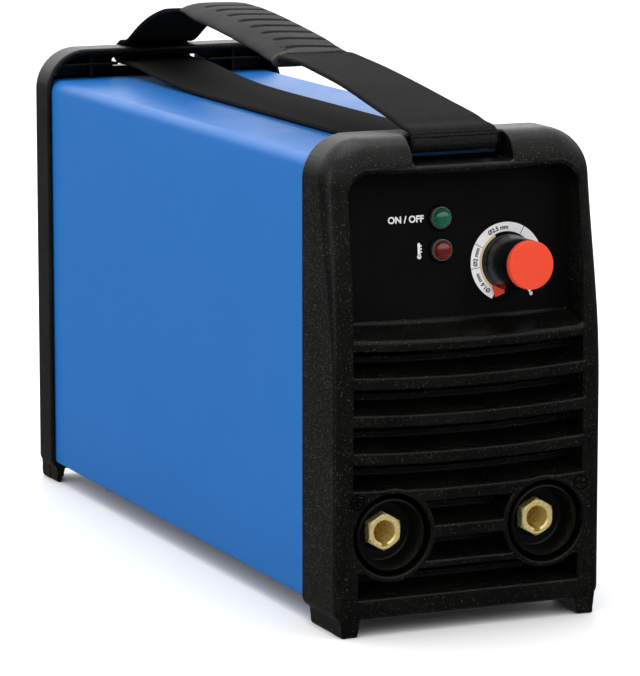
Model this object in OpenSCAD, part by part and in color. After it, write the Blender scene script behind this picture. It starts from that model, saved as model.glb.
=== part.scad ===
// Portable stick welding inverter: a folded steel cover between two moulded bezels, with a looped
// carrying strap, two output sockets and a current knob in front, and a fan, a switch and a cable
// gland behind. The origin is on the floor, under the middle of the bounding box. The front faces -Y.
// Depths are measured back from the front plane. Heights are measured up from the floor.

/* [Case] */
// Width across the bezels
case_w = 119; // [118.6:0.1:119.6]
// Depth from the front plane to the rear plane
case_d = 353; // [353:1:356]
// Height of the front bezel
front_h = 201; // [201:0.1:201.5]
// Height of the rear bezel
rear_h = 206.3; // [206.3:0.1:207]
// Height of the feet
foot_h = 6.5; // [6:0.1:7]
// Depth of the front bezel's side walls
front_depth = 34.5; // [34:0.5:36]
// Depth of the rear bezel's side walls
rear_depth = 20.5; // [20:0.5:22]
// Height of the cover's top face
cover_top = 192; // [191.8:0.1:192.1]
// Thickness of the cover's steel sheet
sheet_t = 1.2; // [1:0.1:1.2]

/* [Front] */
// Distance of each output socket from the middle
socket_x = 34.5; // [34:0.5:35]
// Height of the output sockets
socket_z = 41; // [40.5:0.5:41.5]
// Bore radius of the output sockets
socket_bore_r = 4.65; // [4.5:0.05:4.8]
// Sideways place of the current knob
knob_x = 24; // [22:0.5:25]
// Height of the current knob
knob_z = 146.6; // [146:0.1:147]
// Depth of the control recess at the knob's height
recess_depth = 17; // [16.5:0.5:17.5]
// Angle by which the control face leans back
face_tilt = 4.5; // [4:0.5:5]

/* [Rear] */
// Height of the fan's axis
fan_z = 74; // [72:1:76]
// Height of the mains switch and of the cable gland
rear_controls_z = 158; // [155:1:160]
// Distance of the switch and of the gland from the middle
rear_controls_x = 27; // [26:1:29]

/* [Handle] */
// Width of the strap webbing
strap_w = 38.6; // [37:0.1:41]
// Thickness of the strap webbing
strap_t = 2; // [1.8:0.1:2.2]

/* [Hidden] */
$fn = 48;

eps = 0.01;
// How far the knob stands in front of the front plane, and the gland behind the rear plane
knob_len = 23.7;
knob_cap_r = 9.9;
knob_out = knob_len * cos(face_tilt) + knob_cap_r * sin(face_tilt) - recess_depth;
gland_out = 24;
yf = knob_out - (case_d + knob_out + gland_out) / 2;

// Bezel walls
wall = 2;
face_t = 2.6;
front_corner_r = 18.5;
top_corner_r = 19.5;
cover_fold_r = 6;
low_corner_r = 5;
// Feet: a short block across the corner and a thin wall along the side
foot_w = 8.6;
foot_wall = 2.5;
foot_block_d = 10;
foot_inset = 2.5;
foot_d = 32;
rear_foot_d = 20;

// Cover sheet: its outer half width leaves the bezels' walls and a small gap outside it
cover_half_w = case_w / 2 - wall - 0.2;
cover_low = 9.5;
cover_overlap = 8.5;
cover_flange = 12;
cover_front = front_depth - cover_overlap;
cover_rear = case_d - rear_depth + cover_overlap;
tray_t = 1.2;
tray_low = cover_low + sheet_t + 0.05;
tray_top = tray_low + tray_t;
tray_half_w = cover_half_w - sheet_t - 1.2;
tray_front = 29;
tray_rear = case_d - 13;
panel_tab_h = 16;
// Bosses and screws that join each bezel to the tray's tabs
boss_x = 53.3;
boss_z = 20;
boss_r = 3.4;

// Control recess
recess_half_w = 51;
recess_low = 120;
recess_top = 187.5;
recess_corner_r = 10;
recess_wall = 2;
shelf_z = 126;
floor_d = recess_depth;

// Louvres: slot tops step down by one pitch each
louvre_count = 4;
louvre_top = 116.1;
louvre_pitch = 15.4;
louvre_h = 10.3;
louvre_half_w = 51.5;
slat_rise = 5.3;
slat_d = 14.6;
slat_lip = 1.2;

// Socket rings
ring_outer_r = 19.25;
ring_inner_r = 17;
ring_d = 16;
insulator_lip_r = 15.2;
insulator_inner_r = 12.7;
insert_af = 14;
insert_front_d = 7.5;
insert_bore_len = 24.5;
insert_shank_r = 6;
key_w = 2.6;
key_r = 6.2;

// Carrying strap: half width of the two slots, and the bars that the strap wraps
slot_half_w = 22.3;
front_slot_low = 189.4;
front_slot_top = 203;
front_bar_low = 196;
front_bar_d = 18.4;
rear_slot_low = 196.4;
rear_bar_low = 200.4;
rear_bar_d = case_d - 5;
grip_front_d = 157;
grip_rear_d = 285;
grip_half_w = 18.8;
grip_tunnel_half_w = 16;

// Middle line of the closed strap loop: depth and height
strap_path = [
  [20, 193.9], [60, 193.3], [120, 193.3], [180, 193.3], [240, 193.4], [270, 194.2], [300, 196.2],
  [322, 198], [336, 198.5], [347, 198.5], [350.2, 199.4], [351.2, 202.4], [350.4, 205.8],
  [347.6, 207.5], [342.5, 207.9], [338, 209], [332, 212], [323, 216.6], [311, 221.5], [299, 225.1],
  [287, 227.6], [272, 228.9], [255, 228.8], [235, 227.2], [213, 224.8], [190, 222.1],
  [168, 219.4], [145, 217.2], [113, 214], [86, 210.9], [63, 208], [36, 204.6], [27, 202.8],
  [21, 202.2], [17.3, 201], [16.2, 198], [16.9, 195.2]
];
// Outline of the grip sleeve: the crown from front to rear, then the underside back
grip_outline = [
  [157, 220.6], [172, 223.2], [190, 225.6], [213, 228.2], [235, 230.3], [255, 231.7], [272, 231.9],
  [285, 231], [285, 224.4], [272, 225.2], [255, 224.8], [235, 223.2], [213, 221], [190, 218.8],
  [172, 217], [157, 215.6]
];

// Knob and potentiometer
knob_r = 11.2;
knob_gap = 1.2;
knob_cap_t = 3.4;
shaft_r = 3;
running_gap = 0.05;
bush_r = 3.5;
scale_outer_r = 16.3;
pointer_angle = 205.5;
scale_end_angle = 143;
scale_inner_r = 12.2;
film_t = 0.3;
scale_t = 0.2;
lamp_x = -5.6;
lamp_green_z = 166.4;
lamp_red_z = 153.3;
lamp_lens_r = 4;
lamp_holder_r = 5.4;

// Fan
fan_size = 80;
fan_hole_r = 38;
fan_frame_d = 25;
fan_rear = case_d - face_t - 0.4;
fan_front = fan_rear - fan_frame_d;
fan_duct_r = 38;
fan_blade_r = 36.8;
fan_hub_r = 17;
fan_blades = 7;
fan_screw_pitch = 71.5;
guard_wire = 1.6;

// Rocker switch
switch_w = 25;
switch_h = 32;
switch_bezel_t = 2.2;
rocker_half_w = 8.6;
rocker_travel = 20;
rocker_pin_r = 1.5;

// Boards
board_low = 22;
board_t = 1.6;
board_top = board_low + board_t;
board_half_w = 50;
board_front = 62;
board_rear = 312;
lead_d = 316;

case_black = "#1d1d1c";
sheet_blue = "#2a66b0";
metal_grey = "#b4b6b8";
brass_gold = "#c9a24c";
copper = "#b5743c";
board_green = "#1f6b3a";
ferrite = "#3a3a3e";

// ---------- helpers ----------

// Points on an arc around (cx, cz)
function arc(cx, cz, r, a0, a1, n = 6) =
  [for (i = [0:n]) let (a = a0 + (a1 - a0) * i / n) [cx + r * cos(a), cz + r * sin(a)]];

// Upright rounded outline of the case: width, low and top height, top and low corner radius
function case_outline(w, z0, z1, rt, rb) = concat(
  arc(w / 2 - rt, z1 - rt, rt, 0, 90), arc(-w / 2 + rt, z1 - rt, rt, 90, 180),
  arc(-w / 2 + rb, z0 + rb, rb, 180, 270, 3), arc(w / 2 - rb, z0 + rb, rb, 270, 360, 3));

// Side profile of the front face, which leans back above the louvres: depths are moved back by s
function front_profile(s) = [
  [s, 0], [s, 115], [0.8 + s, 122], [2.4 + s, 150], [5 + s, 180], [10 + s, 192], [14 + s, 197.5],
  [18 + s, 200.2], [22 + s, front_h], [22 + s, front_h + 5], [front_depth + 5, front_h + 5],
  [front_depth + 5, 0]
];

// A closed loop of points moved sideways by t
function moved_loop(p, t) = [
  for (i = [0:len(p) - 1])
    let (a = p[(i + len(p) - 1) % len(p)], b = p[(i + 1) % len(p)], u = (b - a) / norm(b - a))
      p[i] + t * [-u[1], u[0]]
];

// A shape drawn in X and Z, from depth d0 to depth d1
module along_y(d0, d1) {
  translate([0, yf + d1, 0]) rotate([90, 0, 0]) linear_extrude(d1 - d0) children();
}

// A shape drawn in depth and Z, from x0 to x1
module along_x(x0, x1) {
  translate([x0, yf, 0]) rotate([90, 0, 90]) linear_extrude(x1 - x0) children();
}

// A round bar that runs front to back
module rod_y(x, z, r, d0, d1) {
  translate([x, yf + d1, z]) rotate([90, 0, 0]) cylinder(r = r, h = d1 - d0);
}

// A round bar that stands up
module rod_z(x, d, r, z0, z1) {
  translate([x, yf + d, z0]) cylinder(r = r, h = z1 - z0);
}

// Turns its children with the control face, about the floor's line at the knob's height
module on_face() {
  translate([0, yf + recess_depth, knob_z]) rotate([-face_tilt, 0, 0])
    translate([0, -yf - recess_depth, -knob_z]) children();
}

// A block between two corners given as x, depth and z
module block(x0, x1, d0, d1, z0, z1) {
  translate([x0, yf + d0, z0]) cube([x1 - x0, d1 - d0, z1 - z0]);
}

// A hexagon bar that runs front to back, with a corner at the top
module hex_y(x, z, af, d0, d1) {
  translate([x, yf + d1, z]) rotate([90, 0, 0]) rotate(30)
    rotate(60) cylinder(r = af / 2 / cos(30), h = d1 - d0, $fn = 6);
}

// A pan-head screw along Z with its head below
module screw_up(x, d, z_seat, len) {
  rod_z(x, d, 1.9, z_seat, z_seat + len);
  difference() {
    rod_z(x, d, 3.4, z_seat - 2, z_seat);
    block(x - 0.4, x + 0.4, d - 2.2, d + 2.2, z_seat - 3, z_seat - 1);
    block(x - 2.2, x + 2.2, d - 0.4, d + 0.4, z_seat - 3, z_seat - 1);
  }
}

// ---------- shell ----------

module louvre_slots() {
  for (i = [0:louvre_count - 1]) {
    z = louvre_top - i * louvre_pitch;
    block(-louvre_half_w, louvre_half_w, -1, face_t + 1, z - louvre_h, z);
  }
  // Short slots between the sockets, and the long slot under them
  block(-20, 20, -1, face_t + 1, 43.6, 53.7);
  block(-17.5, 17.5, -1, face_t + 1, 29.3, 38.4);
  block(-49.5, 49.5, -1, face_t + 1, 15.3, 26);
}

// One sloping slat behind the sill at height z
module slat(z, half_w) {
  along_x(-half_w, half_w)
    polygon([[1, z], [1, z - 2], [slat_d, z + slat_rise - 2], [slat_d, z + slat_rise + slat_lip],
             [slat_d - 1.4, z + slat_rise + slat_lip], [slat_d - 1.4, z + slat_rise * (1 - 1.4 / slat_d)]]);
}

module foot(side, w, d0, d1) {
  outer = case_w / 2 - foot_inset;
  block(side > 0 ? outer - w : -outer, side > 0 ? outer : w - outer, d0, d1, 0, foot_h + wall);
}

module socket_ring(x) {
  rod_y(x, socket_z, ring_outer_r, eps, ring_d);
}

module recess_pocket() {
  difference() {
    along_y(-1, floor_d + 8)
      polygon(case_outline(2 * recess_half_w, recess_low, recess_top, recess_corner_r, 1));
    // The shelf falls from the recess floor to the front face
    along_x(-60, 60) polygon([[-2, recess_low - 2], [-2, recess_low], [floor_d + 1, shelf_z],
                              [floor_d + 1, recess_low - 2]]);
    on_face() block(-60, 60, floor_d, floor_d + 20, recess_low - 20, recess_top + 20);
  }
}

module front_shell() {
  difference() {
    intersection() {
      along_y(0, front_depth)
        polygon(case_outline(case_w, foot_h, front_h, front_corner_r, low_corner_r));
      along_x(-70, 70) polygon(front_profile(0));
    }
    intersection() {
      along_y(face_t, front_depth + 1)
        polygon(case_outline(case_w - 2 * wall, foot_h + wall, cover_top + 0.2, cover_fold_r, 2.5));
      along_x(-70, 70) polygon(front_profile(face_t));
    }
    louvre_slots();
  }
}

module front_panel() color(case_black) {
  difference() {
    union() {
      front_shell();
      difference() {
        along_x(-recess_half_w - recess_wall, recess_half_w + recess_wall)
          polygon([[1, recess_low - 2], [1.2, 123], [3.2, 150], [6, 180], [10, recess_top + 2],
                   [floor_d + 12, recess_top + 2], [floor_d + 12, recess_low - 2]]);
        on_face() block(-60, 60, floor_d + recess_wall, floor_d + 40, recess_low - 20, recess_top + 20);
      }
      for (i = [0:louvre_count - 1]) slat(louvre_top - louvre_h - i * louvre_pitch, louvre_half_w);
      slat(43.6, 19);
      for (s = [-1, 1]) {
        socket_ring(s * socket_x);
        foot(s, foot_w, 0.4, foot_block_d);
        foot(s, foot_wall, 0.4, foot_d);
        // Boss for the screw that holds the bezel to the base tray
        rod_y(s * boss_x, boss_z, boss_r, 1, tray_front - 0.05);
      }
    }
    recess_pocket();
    for (s = [-1, 1]) {
      rod_y(s * socket_x, socket_z, ring_inner_r, -1, ring_d + 1);
      rod_y(s * boss_x, boss_z, 1.5, 10, tray_front + 1);
    }
    // Slot under the bar, and the seat of the strap in front of the bar
    block(-slot_half_w, slot_half_w, -1, front_depth + 1, front_slot_low, front_bar_low);
    along_y(-1, front_bar_d)
      polygon(case_outline(2 * slot_half_w, front_slot_low, front_slot_top, 6, 1));
    // Holes in the recess floor for the lamps and the potentiometer
    on_face() {
      for (z = [lamp_green_z, lamp_red_z]) rod_y(lamp_x, z, 4.3, 10, floor_d + 5);
      rod_y(knob_x, knob_z, bush_r + 0.1, 10, floor_d + 5);
    }
  }
}

module rear_shell() {
  difference() {
    along_y(case_d - rear_depth, case_d)
      polygon(case_outline(case_w, foot_h, rear_h, top_corner_r, low_corner_r));
    along_y(case_d - rear_depth - 1, case_d - face_t)
      polygon(case_outline(case_w - 2 * wall, foot_h + wall, cover_top + 0.2, cover_fold_r, 2.5));
  }
}

module rear_panel() color(case_black) {
  difference() {
    union() {
      rear_shell();
      for (s = [-1, 1]) {
        foot(s, foot_w, case_d - foot_block_d, case_d - 0.4);
        foot(s, foot_wall, case_d - rear_foot_d, case_d - 0.4);
        rod_y(s * boss_x, boss_z, boss_r, tray_rear + 0.05, case_d - 1);
      }
    }
    rod_y(0, fan_z, fan_hole_r, case_d - 10, case_d + 1);
    for (sx = [-1, 1], sz = [-1, 1])
      rod_y(sx * fan_screw_pitch / 2, fan_z + sz * fan_screw_pitch / 2, 2.2, case_d - 10, case_d + 1);
    for (s = [-1, 1]) rod_y(s * boss_x, boss_z, 1.5, tray_rear - 1, case_d - 6);
    // Cut-outs for the switch, the gland and the earth stud
    block(-rear_controls_x - 11.2, -rear_controls_x + 11.2, case_d - 10, case_d + 1,
          rear_controls_z - 14.2, rear_controls_z + 14.2);
    rod_y(rear_controls_x, rear_controls_z, 10.1, case_d - 10, case_d + 1);
    rod_y(0, 130, 2.6, case_d - 10, case_d + 1);
    // Slot under the bar, and the seat of the strap behind the bar
    block(-slot_half_w, slot_half_w, case_d - rear_depth - 1, case_d + 1, rear_slot_low, rear_bar_low);
    block(-slot_half_w, slot_half_w, rear_bar_d, case_d + 1, rear_slot_low, rear_h + 5);
  }
}

// Cover section: two sides, the top and the two flanges under the base tray
module cover() color(sheet_blue) {
  difference() {
    along_y(cover_front, cover_rear)
      polygon(case_outline(2 * cover_half_w, cover_low, cover_top, cover_fold_r, 1.5));
    along_y(cover_front - 1, cover_rear + 1)
      polygon(case_outline(2 * (cover_half_w - sheet_t), cover_low + sheet_t, cover_top - sheet_t,
                           cover_fold_r - sheet_t, 1));
    block(-cover_half_w + cover_flange, cover_half_w - cover_flange, 0, case_d, 0, 20);
    for (s = [-1, 1], d = [80, 176, 272]) rod_z(s * 51, d, 2.1, 0, 20);
  }
}

module base_tray() color(metal_grey) {
  difference() {
    union() {
      block(-tray_half_w, tray_half_w, tray_front, tray_rear, tray_low, tray_top);
      for (s = [-1, 1]) {
        block(s > 0 ? 46.5 : -tray_half_w, s > 0 ? tray_half_w : -46.5, tray_front,
                tray_front + tray_t, tray_low,
              tray_top + panel_tab_h);
        block(s > 0 ? 46.5 : -tray_half_w, s > 0 ? tray_half_w : -46.5, tray_rear - tray_t,
                tray_rear, tray_low,
              tray_top + panel_tab_h);
      }
    }
    for (s = [-1, 1]) {
      rod_y(s * boss_x, boss_z, 2, tray_front - 1, tray_front + 5);
      rod_y(s * boss_x, boss_z, 2, tray_rear - 5, tray_rear + 1);
      for (d = [80, 176, 272]) rod_z(s * 51, d, 1.9, 0, 20);
    }
    // Cooling slots under the power board
    for (i = [0:7]) block(-30, 30, 120 + i * 14, 126 + i * 14, 0, 20);
  }
}

module cover_screws() color(metal_grey)
  for (s = [-1, 1], d = [80, 176, 272]) screw_up(s * 51, d, cover_low, 7);

// Pan-head screws that run from the tray tabs into the bezel bosses
module front_panel_screws() color(metal_grey)
  for (s = [-1, 1]) {
    rod_y(s * boss_x, boss_z, 1.5, 14, tray_front + tray_t);
    rod_y(s * boss_x, boss_z, 2.6, tray_front + tray_t, tray_front + tray_t + 2);
  }

module rear_panel_screws() color(metal_grey)
  for (s = [-1, 1]) {
    rod_y(s * boss_x, boss_z, 1.5, tray_rear - tray_t, case_d - 7);
    rod_y(s * boss_x, boss_z, 2.6, tray_rear - tray_t - 2, tray_rear - tray_t);
  }

// ---------- handle ----------

module strap_section() {
  difference() {
    polygon(moved_loop(strap_path, -strap_t / 2));
    polygon(moved_loop(strap_path, strap_t / 2));
  }
}

module handle_strap() color("#232325") {
  difference() {
    along_x(-strap_w / 2, strap_w / 2) strap_section();
    // The webbing is folded narrower inside the grip
    for (s = [-1, 1])
      block(s > 0 ? grip_tunnel_half_w : -30, s > 0 ? 30 : -grip_tunnel_half_w,
            grip_front_d - 0.5, grip_rear_d + 0.5, 208, 240);
  }
}

module handle_grip() color("#202022") {
  difference() {
    along_x(-grip_half_w, grip_half_w) polygon(grip_outline);
    along_x(-grip_tunnel_half_w, grip_tunnel_half_w) difference() {
      polygon(moved_loop(strap_path, -strap_t / 2));
      polygon(moved_loop(strap_path, strap_t / 2));
    }
  }
}

// ---------- controls ----------

// Printed film that lies on the recess floor, with openings for the lamps and the shaft
module control_film() color("#26262a") on_face() {
  difference() {
    along_y(floor_d - film_t, floor_d)
      polygon(case_outline(2 * recess_half_w - 1, shelf_z + 0.5, recess_top - 0.5,
              recess_corner_r - 0.5, 0.5));
    for (z = [lamp_green_z, lamp_red_z]) rod_y(lamp_x, z, lamp_holder_r + 0.1, 0, floor_d + 1);
    rod_y(knob_x, knob_z, 6.2, 0, floor_d + 1);
  }
}

// White printed ring around the knob, open at its lower right
module dial_scale() color("white") on_face() {
  d0 = floor_d - film_t - scale_t;
  difference() {
    rod_y(knob_x, knob_z, scale_outer_r, d0, floor_d - film_t);
    rod_y(knob_x, knob_z, scale_inner_r, 0, floor_d + 1);
    along_y(0, floor_d + 1) polygon([
      [knob_x, knob_z],
      for (a = [pointer_angle, scale_end_angle]) [knob_x + 40 * sin(a), knob_z + 40 * cos(a)]]);
  }
}

module lamp_lens(z) {
  rod_y(lamp_x, z, lamp_lens_r, floor_d - 3.5, floor_d + 4);
  translate([lamp_x, yf + floor_d - 3.5, z]) intersection() {
    sphere(r = lamp_lens_r);
    translate([-10, -20, -10]) cube([20, 20, 20]);
  }
}

module power_lamp_lens() color("#0d8a55") on_face() lamp_lens(lamp_green_z);

module thermal_lamp_lens() color("#8a1414") on_face() lamp_lens(lamp_red_z);

module lamp_holders() color("#151515") on_face()
  for (z = [lamp_green_z, lamp_red_z]) difference() {
    union() {
      rod_y(lamp_x, z, lamp_holder_r, floor_d - 2, floor_d);
      rod_y(lamp_x, z, 4.25, floor_d - 1, floor_d + 6);
    }
    rod_y(lamp_x, z, lamp_lens_r, 0, floor_d + 9);
  }

module knob_body() color("#1b1b1d") on_face() {
  front_d = floor_d - knob_len + knob_cap_t;
  rear_d = floor_d - knob_gap - film_t;
  difference() {
    translate([knob_x, yf + rear_d, knob_z]) rotate([90, 0, 0])
      rotate_extrude() polygon([[0, 0], [knob_r, 0], [knob_r, 3.4], [knob_cap_r + 0.7, 4.2],
        [knob_cap_r + 0.2, rear_d - front_d], [0, rear_d - front_d]]);
    rod_y(knob_x, knob_z, shaft_r, rear_d - 13, rear_d + 1);
    // Space for the potentiometer's nut
    rod_y(knob_x, knob_z, 7, rear_d - 3.2, rear_d + 1);
    // Notch that holds the pointer
    translate([knob_x, yf, knob_z]) rotate([0, pointer_angle, 0]) translate([-1.3, rear_d - 1.6, 8.5])
      cube([2.6, 1.7, 4]);
  }
}

module knob_cap() color("#f05a3c") on_face()
  translate([knob_x, yf + floor_d - knob_len + knob_cap_t, knob_z]) rotate([90, 0, 0])
    rotate_extrude() polygon([[0, 0], [knob_cap_r, 0], [knob_cap_r, knob_cap_t - 1],
      [knob_cap_r - 0.3, knob_cap_t - 0.3], [knob_cap_r - 1, knob_cap_t], [0, knob_cap_t]]);

// Pointer at the low end of the scale, towards seven o'clock seen from the front
module knob_pointer() color("#e8432c") on_face() {
  rear_d = floor_d - knob_gap - film_t;
  translate([knob_x, yf, knob_z]) rotate([0, pointer_angle, 0])
    translate([0, rear_d, 0]) rotate([90, 0, 0]) linear_extrude(1.5)
      polygon([[-1.2, 8.6], [1.2, 8.6], [1.2, 11.3], [3.4, 11.3], [0, 15.8], [-3.4, 11.3],
               [-1.2, 11.3]]);
}

module potentiometer_body() color("#3b6ea5") on_face() {
  difference() {
    union() {
      rod_y(knob_x, knob_z, 8, floor_d + recess_wall + 0.05, floor_d + recess_wall + 8);
      rod_y(knob_x, knob_z, bush_r, floor_d - 3.5, floor_d + recess_wall + 0.1);
    }
    rod_y(knob_x, knob_z, shaft_r + running_gap, 0, floor_d + recess_wall + 6);
  }
}

module potentiometer_shaft() color(metal_grey) on_face()
  rod_y(knob_x, knob_z, shaft_r, floor_d - knob_gap - film_t - 13, floor_d + recess_wall + 5.9);

module potentiometer_nut() color(metal_grey) on_face()
  difference() {
    translate([knob_x, yf + floor_d, knob_z]) rotate([90, 0, 0])
      cylinder(r = 5.8, h = 2.2, $fn = 6);
    rod_y(knob_x, knob_z, bush_r, 0, floor_d + 1);
  }

module control_board() color(board_green) on_face() {
  d0 = floor_d + recess_wall + 8.1;
  block(-46, 46, d0, d0 + board_t, 129, 183);
  // Driver chips, a connector and small capacitors on the back
  block(-40, -28, d0 + board_t, d0 + board_t + 2, 140, 148);
  block(-20, -8, d0 + board_t, d0 + board_t + 2, 150, 158);
  block(10, 26, d0 + board_t, d0 + board_t + 8, 132, 138);
  for (i = [0:2]) rod_y(-38 + i * 9, 172, 3, d0 + board_t, d0 + board_t + 7);
}

module control_standoffs() color(metal_grey) on_face()
  for (x = [-42, 42], z = [133, 180])
    rod_y(x, z, 2.5, floor_d + recess_wall, floor_d + recess_wall + 8.1);

// ---------- output sockets ----------

module insulator(x) {
  difference() {
    union() {
      rod_y(x, socket_z, insulator_lip_r, 1.2, ring_d);
      rod_y(x, socket_z, ring_inner_r - 0.1, 12, ring_d);
      rod_y(x, socket_z, 11, ring_d - 1, 30);
    }
    rod_y(x, socket_z, insulator_inner_r, -1, 12);
    hex_y(x, socket_z, insert_af + 0.1, 0, 18);
    rod_y(x, socket_z, insert_shank_r + 0.05, 10, 40);
  }
}

module positive_insulator() color("#19191b") insulator(-socket_x);

module negative_insulator() color("#19191b") insulator(socket_x);

// Hexagon socket with a round turned face and a keyed bore
module socket_insert(x) {
  difference() {
    union() {
      hex_y(x, socket_z, insert_af, insert_front_d + 0.6, 18);
      rod_y(x, socket_z, insert_af / 2 - 0.1, insert_front_d, insert_front_d + 1);
      rod_y(x, socket_z, insert_shank_r, 17, 48);
    }
    rod_y(x, socket_z, socket_bore_r, 0, insert_front_d + insert_bore_len);
    block(x - key_w / 2, x + key_w / 2, 0, insert_front_d + insert_bore_len - 6,
          socket_z - key_r, socket_z);
  }
}

module positive_insert() color(brass_gold) socket_insert(-socket_x);

module negative_insert() color(brass_gold) socket_insert(socket_x);

module socket_nuts() color(brass_gold)
  for (s = [-1, 1]) difference() {
    hex_y(s * socket_x, socket_z, 19, 33.1, 38);
    rod_y(s * socket_x, socket_z, insert_shank_r, 30, 60);
  }

// Flat copper bars from the sockets back to the power board
module output_bus_bars() color(copper)
  for (s = [-1, 1]) difference() {
    union() {
      block(s * socket_x - 9, s * socket_x + 9, 30.1, 33, 27, 52);
      block(s * socket_x - 9, s * socket_x + 9, 30.1, 75, 27, 29.5);
      block(s * socket_x - 9, s * socket_x + 9, 72, 75, board_top + 0.1, 28);
    }
    rod_y(s * socket_x, socket_z, insert_shank_r, 20, 60);
  }

// ---------- fan ----------

module fan_frame() color("#202022") {
  half = fan_size / 2;
  difference() {
    block(-half, half, fan_front, fan_rear, fan_z - half, fan_z + half);
    rod_y(0, fan_z, fan_duct_r, fan_front - 1, fan_rear + 1);
    for (sx = [-1, 1], sz = [-1, 1])
      rod_y(sx * fan_screw_pitch / 2, fan_z + sz * fan_screw_pitch / 2, 1.9, fan_front - 1, fan_rear + 1);
  }
  // Motor mount and its four struts on the inner side
  difference() {
    union() {
      rod_y(0, fan_z, 16, fan_front, fan_front + 4);
      for (a = [45:90:315]) translate([0, yf + fan_front, fan_z]) rotate([0, a, 0])
        translate([-1.5, 0, 12]) cube([3, 3, fan_duct_r - 11]);
    }
    rod_y(0, fan_z, 3.5, fan_front - 1, fan_front + 5);
  }
}

module fan_bearing() color(brass_gold) difference() {
  rod_y(0, fan_z, 3.5, fan_front, fan_front + 9);
  rod_y(0, fan_z, 1.5 + running_gap, fan_front + 1, fan_front + 10);
}

module fan_rotor() color("#2c2c30") {
  difference() {
    rod_y(0, fan_z, fan_hub_r, fan_front + 5, fan_rear - 1.5);
    rod_y(0, fan_z, fan_hub_r - 2, fan_front + 4, fan_rear - 4);
  }
  rod_y(0, fan_z, 1.5, fan_front + 1.5, fan_rear - 3);
  for (i = [0:fan_blades - 1])
    translate([0, yf + (fan_front + fan_rear) / 2 + 1.5, fan_z]) rotate([0, i * 360 / fan_blades, 0])
      intersection() {
        translate([0, 0, fan_hub_r - 1]) rotate([0, 0, 38])
          translate([-12, -0.8, 0]) cube([24, 1.6, fan_blade_r - fan_hub_r + 3]);
        rotate([90, 0, 0]) translate([0, 0, -9]) cylinder(r = fan_blade_r, h = 18);
      }
}

// Finger guard on the rear face: rings, two crossed bars and four eyes for the screws
module fan_guard() color(metal_grey) along_y(case_d + 0.2, case_d + 1.9) translate([0, fan_z])
  difference() {
    union() {
      for (r = [10:7:38]) difference() {
        circle(r + guard_wire / 2);
        circle(r - guard_wire / 2);
      }
      for (a = [45, 135]) rotate(a) difference() {
        square([fan_screw_pitch * sqrt(2), guard_wire], center = true);
        circle(9.8);
      }
      for (a = [45:90:315]) rotate(a) translate([fan_screw_pitch / sqrt(2), 0]) circle(3.6);
    }
    for (a = [45:90:315]) rotate(a) translate([fan_screw_pitch / sqrt(2), 0]) circle(2.2);
  }

module fan_screws() color(metal_grey)
  for (sx = [-1, 1], sz = [-1, 1]) {
    rod_y(sx * fan_screw_pitch / 2, fan_z + sz * fan_screw_pitch / 2, 1.9, fan_rear - 20, case_d + 2);
    difference() {
      rod_y(sx * fan_screw_pitch / 2, fan_z + sz * fan_screw_pitch / 2, 3.4, case_d + 2, case_d + 4);
      block(sx * fan_screw_pitch / 2 - 2.2, sx * fan_screw_pitch / 2 + 2.2, case_d + 3, case_d + 5,
            fan_z + sz * fan_screw_pitch / 2 - 0.4, fan_z + sz * fan_screw_pitch / 2 + 0.4);
    }
  }

// ---------- mains switch and inlet ----------

module switch_housing() color("#141414") {
  x = -rear_controls_x;
  z = rear_controls_z;
  difference() {
    union() {
      block(x - switch_w / 2, x + switch_w / 2, case_d, case_d + switch_bezel_t,
            z - switch_h / 2, z + switch_h / 2);
      block(x - 11, x + 11, case_d - 22, case_d + 1, z - 14, z + 14);
    }
    block(x - 9, x + 9, case_d - 9, case_d + 5, z - 12.5, z + 12.5);
    translate([x - 10.2, yf + case_d - 1.5, z]) rotate([0, 90, 0])
      cylinder(r = rocker_pin_r + running_gap, h = 20.4);
  }
  for (dz = [-8, 0, 8]) block(x - 3.2, x + 3.2, case_d - 30, case_d - 21.9, z + dz - 0.4, z + dz + 0.4);
}

// Rocker in its off position: the lower half is pressed in
module switch_rocker() color("#b3221c") {
  x = -rear_controls_x;
  translate([x, yf + case_d - 1.5, rear_controls_z]) rotate([-rocker_travel / 2, 0, 0]) {
    translate([-rocker_half_w, 0, 0]) rotate([90, 0, 90]) linear_extrude(2 * rocker_half_w)
      polygon([[2.6, 0], [5.2, 11.2], [3.4, 11.8], [-1.2, 9], [-3.5, 0], [-1.2, -9], [3.4, -11.8],
               [5.2, -11.2]]);
    translate([-10, 0, 0]) rotate([0, 90, 0]) cylinder(r = rocker_pin_r, h = 20);
  }
}

module gland_body() color("#2a2a2c") {
  x = rear_controls_x;
  z = rear_controls_z;
  difference() {
    union() {
      hex_y(x, z, 24, case_d, case_d + 6);
      rod_y(x, z, 10, case_d - 14, case_d + 1);
      rod_y(x, z, 9.8, case_d + 5, case_d + 14);
    }
    rod_y(x, z, 6.2, case_d - 20, case_d + 30);
  }
}

module gland_dome_nut() color("#232325") {
  x = rear_controls_x;
  z = rear_controls_z;
  difference() {
    union() {
      hex_y(x, z, 24, case_d + 7, case_d + 17);
      translate([x, yf + case_d + 17, z]) rotate([-90, 0, 0])
        cylinder(r1 = 11.5, r2 = 8, h = gland_out - 17);
    }
    rod_y(x, z, 9.85, case_d + 6.5, case_d + 14.1);
    rod_y(x, z, 6.2, case_d, case_d + 40);
  }
}

module gland_locknut() color("#2a2a2c") difference() {
  hex_y(rear_controls_x, rear_controls_z, 25, case_d - face_t - 5.1, case_d - face_t - 0.1);
  rod_y(rear_controls_x, rear_controls_z, 10, case_d - 30, case_d);
}

module earth_stud() color(brass_gold) {
  rod_y(0, 130, 2.5, case_d - 22, case_d + 2.2);
  hex_y(0, 130, 8, case_d - 8, case_d - face_t - 0.1);
  hex_y(0, 130, 8, case_d + 0.1, case_d + 3.6);
}

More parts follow.
